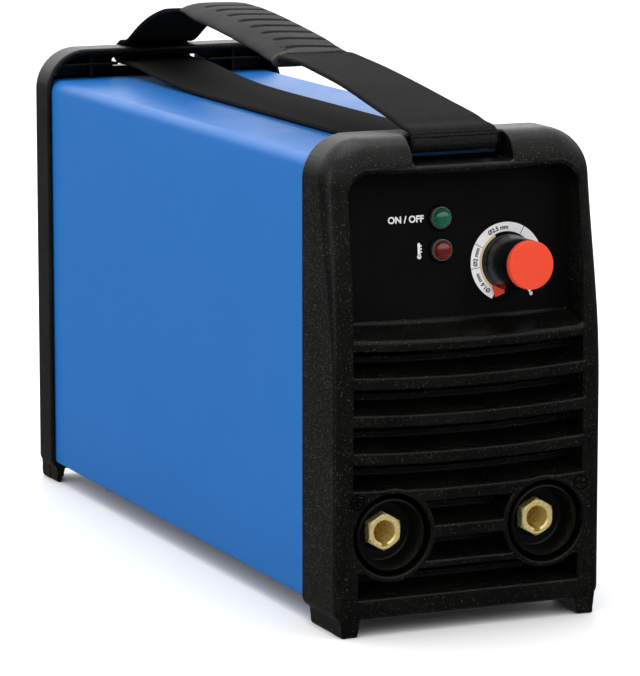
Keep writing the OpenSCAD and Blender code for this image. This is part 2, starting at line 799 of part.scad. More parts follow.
module mains_terminal_block() color("#d8d8d2") difference() {
  block(18, 46, 285, 303, board_top, board_top + 16);
  for (x = [22.5, 32, 41.5]) {
    rod_z(x, 294, 2.4, board_top + 8, board_top + 20);
    rod_y(x, board_top + 5, 2.2, 298, 310);
  }
}

// ---------- power electronics ----------

module power_board() color(board_green) difference() {
  block(-board_half_w, board_half_w, board_front, board_rear, board_low, board_top);
  for (x = [-46, 46], d = [68, 187, 306]) rod_z(x, d, 1.7, 0, 40);
}

module board_standoffs() color(metal_grey)
  for (x = [-46, 46], d = [68, 187, 306]) {
    rod_z(x, d, 3, tray_top, board_low);
    rod_z(x, d, 1.6, board_low, board_top + 1);
    rod_z(x, d, 3, board_top + 0.05, board_top + 2);
  }

module bulk_capacitors() color("#2b3038")
  for (x = [-32, 0, 32]) difference() {
    rod_z(x, 166, 14.5, board_top, board_top + 46);
    // Vent cross on the top
    for (a = [0, 90]) translate([x, yf + 166, board_top + 46]) rotate([0, 0, a])
      cube([18, 0.6, 0.8], center = true);
  }

module bridge_rectifier() color("#25252a") difference() {
  block(-46, -20, 283, 309, board_top + 4, board_top + 12);
  rod_z(-33, 296, 2.5, board_top, board_top + 20);
}

module filter_choke() color(ferrite)
  translate([2, yf + 296, board_top + 13]) rotate([0, 90, 0]) difference() {
    translate([0, 0, -6]) cylinder(r = 12.8, h = 12);
    translate([0, 0, -7]) cylinder(r = 6.5, h = 14);
  }

module soft_start_relay() color("#d98a2b") block(30, 48, 192, 221, board_top, board_top + 16);

module auxiliary_transformer() color("#c8a23a") {
  block(8, 26, 186, 204, board_top, board_top + 16);
  block(5, 29, 190, 200, board_top + 2, board_top + 14);
}

// A comb-shaped aluminium section that runs front to back: base below, fins above
module heatsink(x0, x1, d0, d1, z0, base_t, fin_h, fins) {
  block(x0, x1, d0, d1, z0, z0 + base_t);
  pitch = (x1 - x0 - 2) / (fins - 1);
  for (i = [0:fins - 1]) block(x0 + i * pitch, x0 + i * pitch + 2, d0, d1, z0 + base_t - eps, z0 + fin_h);
}

module primary_heatsink() color(metal_grey)
  heatsink(-50, -4, 190, 278, board_top + 17.1, 6, 62, 9);

module secondary_heatsink() color(metal_grey)
  heatsink(4, 50, 220, 278, board_top + 17.1, 6, 62, 9);

// Flat power packages that stand under a heatsink, with three legs each
module power_package(x, d) {
  block(x - 8, x + 8, d - 10, d + 10, board_top + 12, board_top + 17);
  for (i = [-1:1]) block(x - 0.6 + i * 5.4, x + 0.6 + i * 5.4, d - 12, d - 9.5, board_top, board_top + 14.6);
}

module switching_transistors() color("#25252a")
  for (x = [-38, -16], d = [206, 234, 262]) power_package(x, d);

module output_diodes() color("#25252a")
  for (x = [16, 38], d = [236, 262]) power_package(x, d);

module transformer_core() color(ferrite) difference() {
  block(-44, 16, 92, 136, board_top, board_top + 56);
  for (x = [-34, -4]) block(x, x + 10, 91, 137, board_top + 10, board_top + 46);
}

module transformer_windings() color(copper) difference() {
  block(-33.8, 5.8, 86, 142, board_top + 10.2, board_top + 45.8);
  block(-24.1, -3.9, 91.9, 136.1, board_top, board_top + 60);
}

module choke_core() color("#8d8f45") difference() {
  translate([34, yf + 114, board_top + 22]) rotate([0, 90, 0]) difference() {
    translate([0, 0, -9]) cylinder(r = 18, h = 18);
    translate([0, 0, -10]) cylinder(r = 10, h = 20);
  }
}

// Turns of enamelled wire around the ring, as one band for each turn
module choke_winding() color(copper)
  for (a = [20:40:340])
    translate([34, yf + 114, board_top + 22]) rotate([a, 0, 0]) difference() {
      translate([-11.2, -2, 7.9]) cube([22.4, 4, 12.3]);
      rotate([0, 90, 0]) translate([0, 0, -9.1]) difference() {
        cylinder(r = 18.1, h = 18.2);
        translate([0, 0, -1]) cylinder(r = 9.9, h = 21);
      }
    }

// Flat cable from the control board down to the power board
module ribbon_cable() color("#b9bcc0")
  along_x(11, 25) polygon([[36.1, 136], [58, 110], [78, 60], [78, 24], [79, 24], [79, 60.4],
                           [58.9, 110.5], [36.9, 136.6]]);

// Insulated leads from the terminal block up and across to the switch
module lead(x, z, xs) {
  r = 1.6;
  z0 = board_top + 5;
  rod_y(x, z0, r, 303, lead_d);
  rod_z(x, lead_d, r, z0, z);
  translate([xs, yf + lead_d, z]) rotate([0, 90, 0]) cylinder(r = r, h = x - xs);
  rod_y(xs, z, r, lead_d, case_d - 30.1);
  for (p = [[x, z0], [x, z], [xs, z]]) translate([p[0], yf + lead_d, p[1]]) sphere(r = r);
}

module mains_leads() color("#7a4a2a")
  for (i = [0:2]) lead(22.5 + i * 9.5, rear_controls_z - 8 + i * 8, -rear_controls_x);

front_panel();
rear_panel();
cover();
base_tray();
cover_screws();
front_panel_screws();
rear_panel_screws();
handle_strap();
handle_grip();
control_film();
dial_scale();
power_lamp_lens();
thermal_lamp_lens();
lamp_holders();
knob_body();
knob_cap();
knob_pointer();
potentiometer_body();
potentiometer_shaft();
potentiometer_nut();
control_board();
control_standoffs();
positive_insulator();
negative_insulator();
positive_insert();
negative_insert();
socket_nuts();
output_bus_bars();
fan_frame();
fan_rotor();
fan_bearing();
fan_guard();
fan_screws();
switch_housing();
switch_rocker();
gland_body();
gland_dome_nut();
gland_locknut();
earth_stud();
mains_terminal_block();
power_board();
board_standoffs();
bulk_capacitors();
bridge_rectifier();
filter_choke();
soft_start_relay();
auxiliary_transformer();
switching_transistors();
primary_heatsink();
output_diodes();
secondary_heatsink();
transformer_core();
transformer_windings();
choke_core();
choke_winding();
ribbon_cable();
mains_leads();
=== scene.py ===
import math
from functools import reduce

import bmesh
import bpy
import numpy as np
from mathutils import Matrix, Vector


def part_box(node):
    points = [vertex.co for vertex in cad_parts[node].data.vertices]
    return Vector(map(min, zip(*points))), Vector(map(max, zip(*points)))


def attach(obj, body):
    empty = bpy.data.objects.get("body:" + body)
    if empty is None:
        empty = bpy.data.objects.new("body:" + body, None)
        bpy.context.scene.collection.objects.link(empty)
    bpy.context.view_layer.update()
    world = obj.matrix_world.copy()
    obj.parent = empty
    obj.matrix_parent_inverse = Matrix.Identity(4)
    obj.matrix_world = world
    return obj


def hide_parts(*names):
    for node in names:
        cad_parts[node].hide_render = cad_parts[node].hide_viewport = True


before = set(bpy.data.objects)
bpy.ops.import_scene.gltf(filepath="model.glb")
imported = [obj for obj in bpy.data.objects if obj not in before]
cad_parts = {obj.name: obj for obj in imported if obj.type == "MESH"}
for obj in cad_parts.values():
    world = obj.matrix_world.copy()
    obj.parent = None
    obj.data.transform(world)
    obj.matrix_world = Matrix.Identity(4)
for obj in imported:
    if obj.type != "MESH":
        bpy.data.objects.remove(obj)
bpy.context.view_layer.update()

# Looks of a portable stick welding inverter. Lengths here are millimetres: x across the front,
# d back from the front plane and z up from the floor. place() turns them into the frame's metres.

MM = 0.001
FRONT_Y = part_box("front_panel")[0].y


def span(node, axis):
    """Lowest and highest x, d or z of a CAD node, in millimetres."""
    low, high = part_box(node)
    shift = FRONT_Y if axis == 1 else 0.0
    return (low[axis] - shift) / MM, (high[axis] - shift) / MM


# Case
HALF_W = span("front_panel", 0)[1]
FRONT_TOP = span("front_panel", 2)[1]
FRONT_DEPTH = span("front_panel", 1)[1]
REAR_TOP = span("rear_panel", 2)[1]
CASE_D = span("rear_panel", 1)[1]
REAR_DEPTH = 20.5
SOLE_Z = 6.5
FACE_T = 2.6
WALL = 2.0
FRONT_R = 18.5
TOP_R = 19.5
LOW_R = 5.0
COVER_HALF_W = span("cover", 0)[1]
COVER_LOW, COVER_TOP = span("cover", 2)
COVER_FRONT, COVER_REAR = span("cover", 1)
SHEET_T = 1.2
BOSS_X, BOSS_Z = 53.3, 20.0
FOOT_X = 57.0
FOOT_BLOCK_D = 10.0

# Control recess: its floor leans back about the knob's height
KNOB_X, KNOB_Z = 24.0, 146.6
RECESS_D = 17.0
TILT = math.radians(4.5)
RECESS_HALF_W = 51.0
RECESS_LOW, RECESS_TOP = 120.0, 187.5
KNOB_LEN = 23.7
CAP_R = 9.9
CAP_T = 3.4
KNOB_R = 11.4
FILM_T = 0.3
LAMP_X = -5.6
LAMPS_Z = {"power_lamp_lens": 166.4, "thermal_lamp_lens": 153.3}

# Louvres and output sockets
LOUVRE_HALF_W = 51.5
LOUVRE_SILLS = [106.6 - 15.37 * i for i in range(4)]
LOUVRE_H = 10.4
SAG = 1.8
CUT_D = 3.6
SLAT_FRONT, SLAT_D = 1.2, 14.6
SLAT_RISE = 5.3
# Sill, top and half width of the slots between and under the sockets
SOCKET_SLOTS = [(43.5, 53.6, 22), (29.1, 38.2, 22), (15.3, 26.0, 49.4)]
SOCKET_X, SOCKET_Z = 34.5, 41.0
RING_OUTER_R, RING_INNER_R = 19.25, 17.0
RING_D = 16.0
INSERT_D = 7.5
INSERT_AF = 14.0
BORE_R = 4.65

# Carrying strap: middle line of the closed loop as depth and height
STRAP_HALF_W = span("handle_strap", 0)[1]
STRAP_T = 2.0
STRAP_PATH = [
    (20, 193.9), (60, 193.3), (120, 193.3), (180, 193.3), (240, 193.4), (270, 194.2), (300, 196.2),
    (322, 198), (336, 198.5), (347, 198.5), (350.2, 199.4), (351.2, 202.4), (350.4, 205.8),
    (347.6, 207.5), (342.5, 207.9), (338, 209), (332, 212), (323, 216.6), (311, 221.5), (299, 225.1),
    (287, 227.6), (272, 228.9), (255, 228.8), (235, 227.2), (213, 224.8), (190, 222.1),
    (168, 219.4), (145, 217.2), (113, 214), (86, 210.9), (63, 208), (36, 204.6), (27, 202.8),
    (21, 202.2), (17.3, 201), (16.2, 198), (16.9, 195.2)]
SLOT_HALF_W = 22.3
STRAND_Z = 205.0         # the webbing above this height is the raised strand
GRIP_FRONT, GRIP_REAR = span("handle_grip", 1)
GRIP_HALF_W = span("handle_grip", 0)[1]
CROWN = [(157, 219.9), (172, 221.9), (180, 223.4), (190, 224.8), (200, 226), (213, 227.5), (229, 229.2),
         (242, 230.4), (255, 231.3), (272, 231.7), (285, 231)]

# Rear
FAN_Z = 74.0
FAN_PITCH = 71.5
CONTROLS_X, CONTROLS_Z = 27.0, 158.0
SWITCH_HALF_W, SWITCH_HALF_H = 12.5, 16.0
STUD_Z = 130.0


# ---------- points, meshes and distance fields ----------

def place(points):
    """Points given as x, depth and height in millimetres, in the frame's metres."""
    return np.asarray(points, float) * MM + np.array([0.0, FRONT_Y, 0.0])


def on_face(points):
    """Points given square to the control face, leaned back with it."""
    p = np.array(points, float).reshape(-1, 3)
    d, z = p[:, 1] - RECESS_D, p[:, 2] - KNOB_Z
    p[:, 1] = RECESS_D + d * math.cos(TILT) + z * math.sin(TILT)
    p[:, 2] = KNOB_Z + z * math.cos(TILT) - d * math.sin(TILT)
    return p


def flat_coords(d, z):
    """The inverse of on_face, for arrays: depth and height square to the control face."""
    dd, dz = d - RECESS_D, z - KNOB_Z
    return (RECESS_D + dd * math.cos(TILT) - dz * math.sin(TILT),
            KNOB_Z + dz * math.cos(TILT) + dd * math.sin(TILT))


def linked(name, data):
    """A new object in the scene."""
    made = bpy.data.objects.new(name, data)
    bpy.context.scene.collection.objects.link(made)
    return made


def add_piece(name, points, faces, slot, replaces=(), body="root", looks=None, flat=False):
    """A mesh object in the frame, riding on a body. Faces are lists of point numbers."""
    mesh = bpy.data.meshes.new(name)
    mesh.from_pydata(place(points).tolist(), [], [list(f) for f in faces])
    return finish_piece(name, mesh, slot, replaces, body, looks, flat)


def finish_piece(name, mesh, slot, replaces, body="root", looks=None, flat=False):
    """Its finish is its slot's own, unless a list of other looks is given."""
    mesh.update()
    for look in looks or [PAINT[slot]]:
        mesh.materials.append(look)
    mesh.shade_flat() if flat else mesh.shade_smooth()
    piece = linked(name, mesh)
    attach(piece, body)
    if replaces:
        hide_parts(*replaces)
    return piece


def blend_max(a, b, k):
    """The larger of two distances, with the crease rounded over a width k."""
    h = np.maximum(k - np.abs(a - b), 0) / k
    return np.maximum(a, b) + h * h * k / 4


def blend_min(a, b, k):
    return -blend_max(-a, -b, k)


def smooth_step(low, high, t):
    u = np.clip((t - low) / (high - low), 0, 1)
    return u * u * (3 - 2 * u)


def slab(t, low, high):
    """Distance to the space between two planes."""
    return np.maximum(low - t, t - high)


def common(*distances):
    """Distance to what lies inside all the shapes."""
    return reduce(np.maximum, distances)


def either(*distances):
    """Distance to the nearest of the shapes."""
    return reduce(np.minimum, distances)


def outline(x, z, half_w, low, high, r_top, r_low):
    """Distance to an upright rounded rectangle."""
    middle = (low + high) / 2
    r = np.where(z > middle, r_top, r_low)
    qx = np.abs(x) - half_w + r
    qz = np.abs(z - middle) - (high - low) / 2 + r
    return np.minimum(np.maximum(qx, qz), 0) + np.hypot(np.maximum(qx, 0), np.maximum(qz, 0)) - r


def hexagon(x, z, af):
    """Distance to a hexagon with a corner at the top."""
    ax, az = np.abs(x), np.abs(z)
    return np.maximum(ax, ax * 0.5 + az * math.sqrt(0.75)) - af / 2


def field_slope(field, p, h):
    """Direction in which the field grows, by central differences."""
    g = np.zeros_like(p)
    for a in range(3):
        step = np.zeros(3)
        step[a] = h
        up, down = p + step, p - step
        g[:, a] = field(*up.T) - field(*down.T)
    return g / (2 * h)


def net(field, low, high, step):
    """Quads around the cells where the field changes sign: points (n, 3) and faces (m, 4)."""
    counts = [int(math.ceil((b - a) / step)) + 1 for a, b in zip(low, high)]
    axes = [a + step * np.arange(n) for a, n in zip(low, counts)]
    value = field(*np.meshgrid(*axes, indexing="ij", sparse=True))
    value = np.array(np.broadcast_to(value, counts), np.float32)
    stride = np.array([counts[1] * counts[2], counts[2], 1])
    cells, spots, quads = [], [], []
    for a in range(3):
        b, c = (a + 1) % 3, (a + 2) % 3
        near, far = [slice(None)] * 3, [slice(None)] * 3
        near[a], far[a] = slice(None, -1), slice(1, None)
        v0, v1 = value[tuple(near)], value[tuple(far)]
        where = np.argwhere((v0 < 0) != (v1 < 0))
        v0, v1 = v0[tuple(where.T)], v1[tuple(where.T)]
        spot = where.astype(float)
        spot[:, a] += v0 / (v0 - v1)
        corners = []
        for db, dc in ((1, 1), (0, 1), (0, 0), (1, 0)):
            cell = where.copy()
            cell[:, b] -= db
            cell[:, c] -= dc
            corners.append(cell @ stride)
            spots.append(spot)
        quad = np.stack(corners, 1)
        quad[v0 >= 0] = quad[v0 >= 0][:, ::-1]
        quads.append(quad)
        cells += corners
    ids, inverse = np.unique(np.concatenate(cells), return_inverse=True)
    spots = np.concatenate(spots)
    total = np.bincount(inverse)
    points = np.stack([np.bincount(inverse, spots[:, a]) / total for a in range(3)], 1)
    faces = np.searchsorted(ids, np.concatenate(quads))
    return points * step + np.array(low), faces


def carve(name, field, low, high, step, triangles, slot, replaces):
    """A fixed piece whose surface is where the field is zero. Its normals come from the field."""
    points, faces = net(field, low, high, step)
    start = points.copy()
    for _ in range(3):
        g = field_slope(field, points, step * 0.1)
        pull = field(*points.T) / np.maximum((g * g).sum(1), 0.2)
        points = start + np.clip(points - pull[:, None] * g - start, -0.6 * step, 0.6 * step)
    mesh = bpy.data.meshes.new(name)
    mesh.vertices.add(len(points))
    mesh.vertices.foreach_set("co", points.ravel())
    mesh.loops.add(faces.size)
    mesh.loops.foreach_set("vertex_index", faces.ravel())
    mesh.polygons.add(len(faces))
    mesh.polygons.foreach_set("loop_start", np.arange(0, faces.size, 4))
    mesh.update(calc_edges=True)
    if 2 * len(faces) > triangles:
        mesh = thinned(mesh, triangles / (2 * len(faces)))
    count = len(mesh.vertices)
    points = np.zeros(count * 3)
    mesh.vertices.foreach_get("co", points)
    points = points.reshape(-1, 3)
    slope = field_slope(field, points, step * 0.3)
    slope /= np.maximum(np.linalg.norm(slope, axis=1), 1e-9)[:, None]
    mesh.vertices.foreach_set("co", place(points).ravel())
    finish_piece(name, mesh, slot, replaces)
    set_normals(mesh, slope)


def thinned(mesh, ratio):
    """A copy of the mesh with fewer triangles where it is flat."""
    helper = linked("thinning", mesh)
    helper.modifiers.new("thin", "DECIMATE").ratio = ratio
    return evaluated(helper)


def evaluated(helper):
    """The mesh that a helper object ends up with. The helper is removed."""
    made = bpy.data.meshes.new_from_object(helper.evaluated_get(bpy.context.evaluated_depsgraph_get()))
    bpy.data.objects.remove(helper)
    return made


def set_normals(mesh, normals):
    """Point normals where they agree with the faces, and the faces' own at sharp corners."""
    corners = np.zeros(len(mesh.loops), int)
    mesh.loops.foreach_get("vertex_index", corners)
    sizes = np.zeros(len(mesh.polygons), int)
    mesh.polygons.foreach_get("loop_total", sizes)
    flat = np.zeros(len(mesh.polygons) * 3)
    mesh.polygons.foreach_get("normal", flat)
    flat = np.repeat(flat.reshape(-1, 3), sizes, axis=0)
    split = normals[corners]
    off = (split * flat).sum(1) < 0.8
    split[off] = flat[off]
    mesh.normals_split_custom_set(split.tolist())


def grid(rows, cols, round_rows=False, round_cols=False):
    """Quads over rows of points, closed round along either way where that is asked for."""
    faces = []
    for i in range(rows if round_rows else rows - 1):
        near, far = i * cols, (i + 1) % rows * cols
        for k in range(cols if round_cols else cols - 1):
            m = (k + 1) % cols
            faces.append((near + k, near + m, far + m, far + k))
    return faces


def lathe(profile, centre, segments=96):
    """Points and faces turned about a line that runs front to back: profile is (radius, depth)."""
    points = []
    for i in range(segments):
        a = 2 * math.pi * i / segments
        for r, d in profile:
            points.append((centre[0] + r * math.sin(a), d, centre[1] + r * math.cos(a)))
    return points, grid(segments, len(profile), round_rows=True)


def capped(faces, n, segments):
    """The faces of a lathed shape, closed at both ends of its profile of n points."""
    return faces + [tuple(i * n for i in range(segments)),
                    tuple(i * n + n - 1 for i in reversed(range(segments)))]


def turned(name, profile, centre, slot, replaces=(), body="root", looks=None, segments=96,
           tilted=False, closed=False):
    """A turned piece. A closed profile is a ring, and an open one is capped at both ends."""
    ring = list(profile) + [profile[0]] if closed else profile
    points, faces = lathe(ring, centre, segments)
    if not closed:
        faces = capped(faces, len(ring), segments)
    if tilted:
        points = on_face(points)
    tidy_mesh(add_piece(name, points, faces, slot, replaces, body, looks).data, 32)


def tidy_mesh(mesh, crease=None):
    """Joins doubled points and turns every face outwards. Edges sharper than crease degrees show."""
    bm = bmesh.new()
    bm.from_mesh(mesh)
    bmesh.ops.remove_doubles(bm, verts=bm.verts, dist=1e-6)
    bmesh.ops.dissolve_degenerate(bm, edges=bm.edges, dist=1e-7)
    bmesh.ops.recalc_face_normals(bm, faces=bm.faces)
    bm.to_mesh(mesh)
    bm.free()
    mesh.update()
    if crease:
        mesh.shade_smooth()
        mesh.set_sharp_from_angle(angle=math.radians(crease))


def face_towards(mesh, side):
    """Turns every flat face to the front (side -1) or to the rear (side 1)."""
    bm = bmesh.new()
    bm.from_mesh(mesh)
    for face in bm.faces:
        if face.normal.y * side < 0:
            face.normal_flip()
    bm.to_mesh(mesh)
    bm.free()


def strip(n):
    """Quads along a ladder of n rungs, whose points lie in pairs."""
    return [(2 * i, 2 * i + 2, 2 * i + 3, 2 * i + 1) for i in range(n)]


def arc(cx, cz, r, a0, a1, n=6):
    """Points on an arc, from angle a0 to a1 in degrees."""
    return [(cx + r * math.cos(math.radians(a0 + (a1 - a0) * i / n)),
             cz + r * math.sin(math.radians(a0 + (a1 - a0) * i / n))) for i in range(n + 1)]


def circle(cx, cz, r, n=48):
    return arc(cx, cz, r, 0, 360, n)[:-1]


def plate(loops, d0, d1, bevel=0.0):
    """A flat plate between two depths: the first loop is its outline, the others are holes."""
    bm = bmesh.new()
    edges = []
    for loop in loops:
        verts = [bm.verts.new((x, d1, z)) for x, z in loop]
        edges += [bm.edges.new((verts[i], verts[(i + 1) % len(verts)])) for i in range(len(verts))]
    bmesh.ops.triangle_fill(bm, edges=edges, use_beauty=True)
    made = bmesh.ops.extrude_face_region(bm, geom=bm.faces[:])
    for v in made["geom"]:
        if isinstance(v, bmesh.types.BMVert):
            v.co.y = d0
    bmesh.ops.recalc_face_normals(bm, faces=bm.faces)
    if bevel:
        sharp = [e for e in bm.edges if len(e.link_faces) == 2 and e.calc_face_angle() > 1.2]
        bmesh.ops.bevel(bm, geom=sharp, offset=bevel, segments=2, profile=0.5, affect="EDGES")
    points = [tuple(v.co) for v in bm.verts]
    bm.verts.index_update()
    faces = [tuple(v.index for v in f.verts) for f in bm.faces]
    bm.free()
    return points, faces


def join_parts(parts):
    """Several (points, faces) lists as one."""
    points, faces = [], []
    for p, f in parts:
        start = len(points)
        points += [tuple(q) for q in p]
        faces += [tuple(start + i for i in face) for face in f]
    return points, faces


def spline(points, spacing):
    """A closed smooth curve through points, resampled evenly."""
    p = np.array(points, float)
    n = len(p)
    fine = []
    for i in range(n):
        a, b, c, e = p[i - 1], p[i], p[(i + 1) % n], p[(i + 2) % n]
        ta, tb = (c - a), (e - b)
        length = np.linalg.norm(c - b)
        ta = ta / max(np.linalg.norm(ta), 1e-9) * length
        tb = tb / max(np.linalg.norm(tb), 1e-9) * length
        for s in np.linspace(0, 1, 24, endpoint=False):
            fine.append((2 * s**3 - 3 * s**2 + 1) * b + (s**3 - 2 * s**2 + s) * ta
                        + (3 * s**2 - 2 * s**3) * c + (s**3 - s**2) * tb)
    fine = np.array(fine + [fine[0]])
    along = np.concatenate([[0], np.cumsum(np.linalg.norm(np.diff(fine, axis=0), axis=1))])
    count = int(round(along[-1] / spacing))
    at = np.linspace(0, along[-1], count, endpoint=False)
    return np.stack([np.interp(at, along, fine[:, k]) for k in range(fine.shape[1])], 1)


def tube(path, radius, closed=True):
    """Points and faces of a round wire along points given as (x, d, z)."""
    sides = 12
    p = np.array(path, float)
    n = len(p)
    points = []
    for i in range(n):
        ahead = p[(i + 1) % n] if closed or i < n - 1 else p[i]
        behind = p[i - 1] if closed or i > 0 else p[i]
        t = ahead - behind
        t /= np.linalg.norm(t)
        u = np.cross(t, (0, 1, 0))
        u /= np.linalg.norm(u)
        w = np.cross(t, u)
        for k in range(sides):
            a = 2 * math.pi * k / sides
            points.append(tuple(p[i] + radius * (math.cos(a) * u + math.sin(a) * w)))
    faces = grid(n, sides, closed, True)
    if not closed:
        faces += [tuple(range(sides)), tuple((n - 1) * sides + k for k in reversed(range(sides)))]
    return points, faces


# ---------- materials ----------

def nodes_of(name, colour, rough, metallic=0.0, specular=0.5, coat=0.0):
    """A Principled material with constant values on its own sockets."""
    m = bpy.data.materials.new(name)
    m.use_nodes = True
    shader = m.node_tree.nodes["Principled BSDF"]
    shader.inputs["Base Color"].default_value = (*colour, 1)
    shader.inputs["Roughness"].default_value = rough
    shader.inputs["Metallic"].default_value = metallic
    shader.inputs["Specular IOR Level"].default_value = specular
    shader.inputs["Coat Weight"].default_value = coat
    shader.inputs["Coat Roughness"].default_value = 0.12
    return m, m.node_tree, shader


def node(tree, kind, **values):
    made = tree.nodes.new(kind)
    for key, value in values.items():
        if key in made.inputs:
            made.inputs[key].default_value = value
        else:
            setattr(made, key, value)
    return made


def coords(tree, stretch=(1, 1, 1)):
    """The frame's own coordinates, in metres, stretched along each axis."""
    source = node(tree, "ShaderNodeTexCoord")
    mapping = node(tree, "ShaderNodeMapping", Scale=stretch)
    tree.links.new(source.outputs["Object"], mapping.inputs["Vector"])
    return mapping.outputs["Vector"]


def noise(tree, scale, detail=3.0, rough=0.5, stretch=(1, 1, 1)):
    made = node(tree, "ShaderNodeTexNoise", Scale=scale, Detail=detail, Roughness=rough)
    tree.links.new(coords(tree, stretch), made.inputs["Vector"])
    return made.outputs["Fac"]


def ramp(tree, value, stops):
    """A colour ramp: stops are (position, grey or colour)."""
    made = node(tree, "ShaderNodeValToRGB")
    made.color_ramp.elements[0].position = stops[0][0]
    made.color_ramp.elements[1].position = stops[-1][0]
    for at, _ in stops[1:-1]:
        made.color_ramp.elements.new(at)
    for element, (_, tone) in zip(made.color_ramp.elements, stops):
        element.color = (tone, tone, tone, 1) if isinstance(tone, float) else (*tone, 1)
    tree.links.new(value, made.inputs["Fac"])
    return made.outputs["Color"]


def bump(tree, shader, height, strength, distance_mm):
    made = node(tree, "ShaderNodeBump", Strength=strength, Distance=distance_mm * MM)
    tree.links.new(height, made.inputs["Height"])
    before = shader.inputs["Normal"].links
    if before:
        tree.links.new(before[0].from_socket, made.inputs["Normal"])
    tree.links.new(made.outputs["Normal"], shader.inputs["Normal"])


def mix_math(tree, a, b, operation):
    made = node(tree, "ShaderNodeMath", operation=operation)
    for i, value in enumerate((a, b)):
        if isinstance(value, (int, float)):
            made.inputs[i].default_value = value
        else:
            tree.links.new(value, made.inputs[i])
    return made.outputs["Value"]


def mean(tree, a, b, share):
    """Weighted mean of two values, with this share of the first."""
    first = mix_math(tree, a, share, "MULTIPLY")
    return mix_math(tree, first, mix_math(tree, b, 1 - share, "MULTIPLY"), "ADD")


def colour_by(tree, shader, value, stops):
    tree.links.new(ramp(tree, value, stops), shader.inputs["Base Color"])


def rough_by(tree, shader, value, low, high):
    tree.links.new(ramp(tree, value, [(0.3, low), (0.7, high)]), shader.inputs["Roughness"])


def moulded(name, dark, light, rough, grain=1500.0, relief=0.05, painted_glints=0.0, specular=0.3):
    """Moulded plastic: a fine spark-eroded grain and faint clouding. Where asked, it adds painted glints: a
    few bright specks in the colour.
    """
    m, tree, shader = nodes_of(name, dark, rough, specular=specular)
    cloud = noise(tree, 45.0, 4.0)
    fine = noise(tree, grain, 2.0, 0.6)
    tone = ramp(tree, mean(tree, cloud, fine, 0.5), [(0.42, dark), (0.6, light)])
    # Painted glints: sparse light specks mixed into the base colour, standing in for tiny highlights on the
    # grain
    if painted_glints:
        cells = node(tree, "ShaderNodeTexVoronoi", Scale=2000.0)
        tree.links.new(coords(tree), cells.inputs["Vector"])
        near = mix_math(tree, cells.outputs["Distance"], 0.25, "LESS_THAN")
        split = node(tree, "ShaderNodeSeparateColor")
        tree.links.new(cells.outputs["Color"], split.inputs["Color"])
        chosen = mix_math(tree, split.outputs["Red"], 1 - painted_glints, "GREATER_THAN")
        glint_mask = mix_math(tree, near, chosen, "MULTIPLY")
        both = node(tree, "ShaderNodeMix", data_type="RGBA")
        tree.links.new(glint_mask, both.inputs["Factor"])
        tree.links.new(tone, both.inputs["A"])
        both.inputs["B"].default_value = (0.14, 0.13, 0.1, 1)
        tone = both.outputs["Result"]
    tree.links.new(tone, shader.inputs["Base Color"])
    rough_by(tree, shader, fine, rough - 0.1, rough + 0.1)
    bump(tree, shader, fine, 0.5, relief)
    return m


def painted(name, low, high):
    """Semi-gloss powder coat with a slight orange peel."""
    m, tree, shader = nodes_of(name, low, 0.3, specular=0.24)
    colour_by(tree, shader, noise(tree, 9.0, 5.0), [(0.3, low), (0.7, high)])
    rough_by(tree, shader, noise(tree, 60.0, 3.0), 0.38, 0.44)
    bump(tree, shader, noise(tree, 1400.0, 2.0), 0.1, 0.008)
    return m


def woven(name, dark, light):
    """Webbing: close ribs across the strap with the weft showing between them."""
    m, tree, shader = nodes_of(name, dark, 0.8, specular=0.05)
    bands = []
    for scale, distortion, detail, direction in ((640.0, 1.2, 1.0, "X"), (520.0, 1.6, 2.0, "Y")):
        wave = node(tree, "ShaderNodeTexWave", Scale=scale, Distortion=distortion, Detail=detail,
                    bands_direction=direction)
        tree.links.new(coords(tree), wave.inputs["Vector"])
        bands.append(wave.outputs["Fac"])
    weave = mix_math(tree, bands[0], bands[1], "MULTIPLY")
    fluff = noise(tree, 900.0, 3.0)
    colour_by(tree, shader, mean(tree, weave, fluff, 0.45), [(0.3, dark), (0.58, light)])
    bump(tree, shader, weave, 0.5, 0.05)
    bump(tree, shader, fluff, 0.35, 0.08)
    return m


def metal(name, low, high, rough, brushed=(1, 1, 1), strength=0.3, relief=0.01, metallic=1.0):
    """Bare metal with stretched tool marks or plating mottle."""
    m, tree, shader = nodes_of(name, low, rough, metallic=metallic)
    colour_by(tree, shader, noise(tree, 160.0, 4.0), [(0.3, low), (0.7, high)])
    marks = noise(tree, 500.0, 3.0, 0.6, brushed)
    rough_by(tree, shader, marks, rough - 0.06, rough + 0.1)
    bump(tree, shader, marks, strength, relief)
    return m


def glossy(name, low, high, rough, coat=0.5, scale=300.0, specular=0.3):
    """Smooth moulded plastic with faint flow marks."""
    m, tree, shader = nodes_of(name, low, rough, coat=coat, specular=specular)
    colour_by(tree, shader, noise(tree, scale, 3.0), [(0.3, low), (0.7, high)])
    rough_by(tree, shader, noise(tree, 2 * scale, 3.0), rough - 0.04, rough + 0.06)
    bump(tree, shader, noise(tree, 3 * scale, 2.0), 0.2, 0.01)
    return m


def lens(name, deep, rim):
    """Clear coloured lens: deeper where it faces the view and paler where it turns away, a painted sheen
    towards its edge.
    """
    m, tree, shader = nodes_of(name, deep, 0.1, coat=0.6)
    # Colour by how far the surface turns from the view: the pale edge is a painted sheen
    facing = node(tree, "ShaderNodeLayerWeight", Blend=0.35)
    colour_by(tree, shader, facing.outputs["Facing"], [(0.1, deep), (0.85, rim)])
    bump(tree, shader, noise(tree, 900.0, 2.0), 0.1, 0.01)
    return m


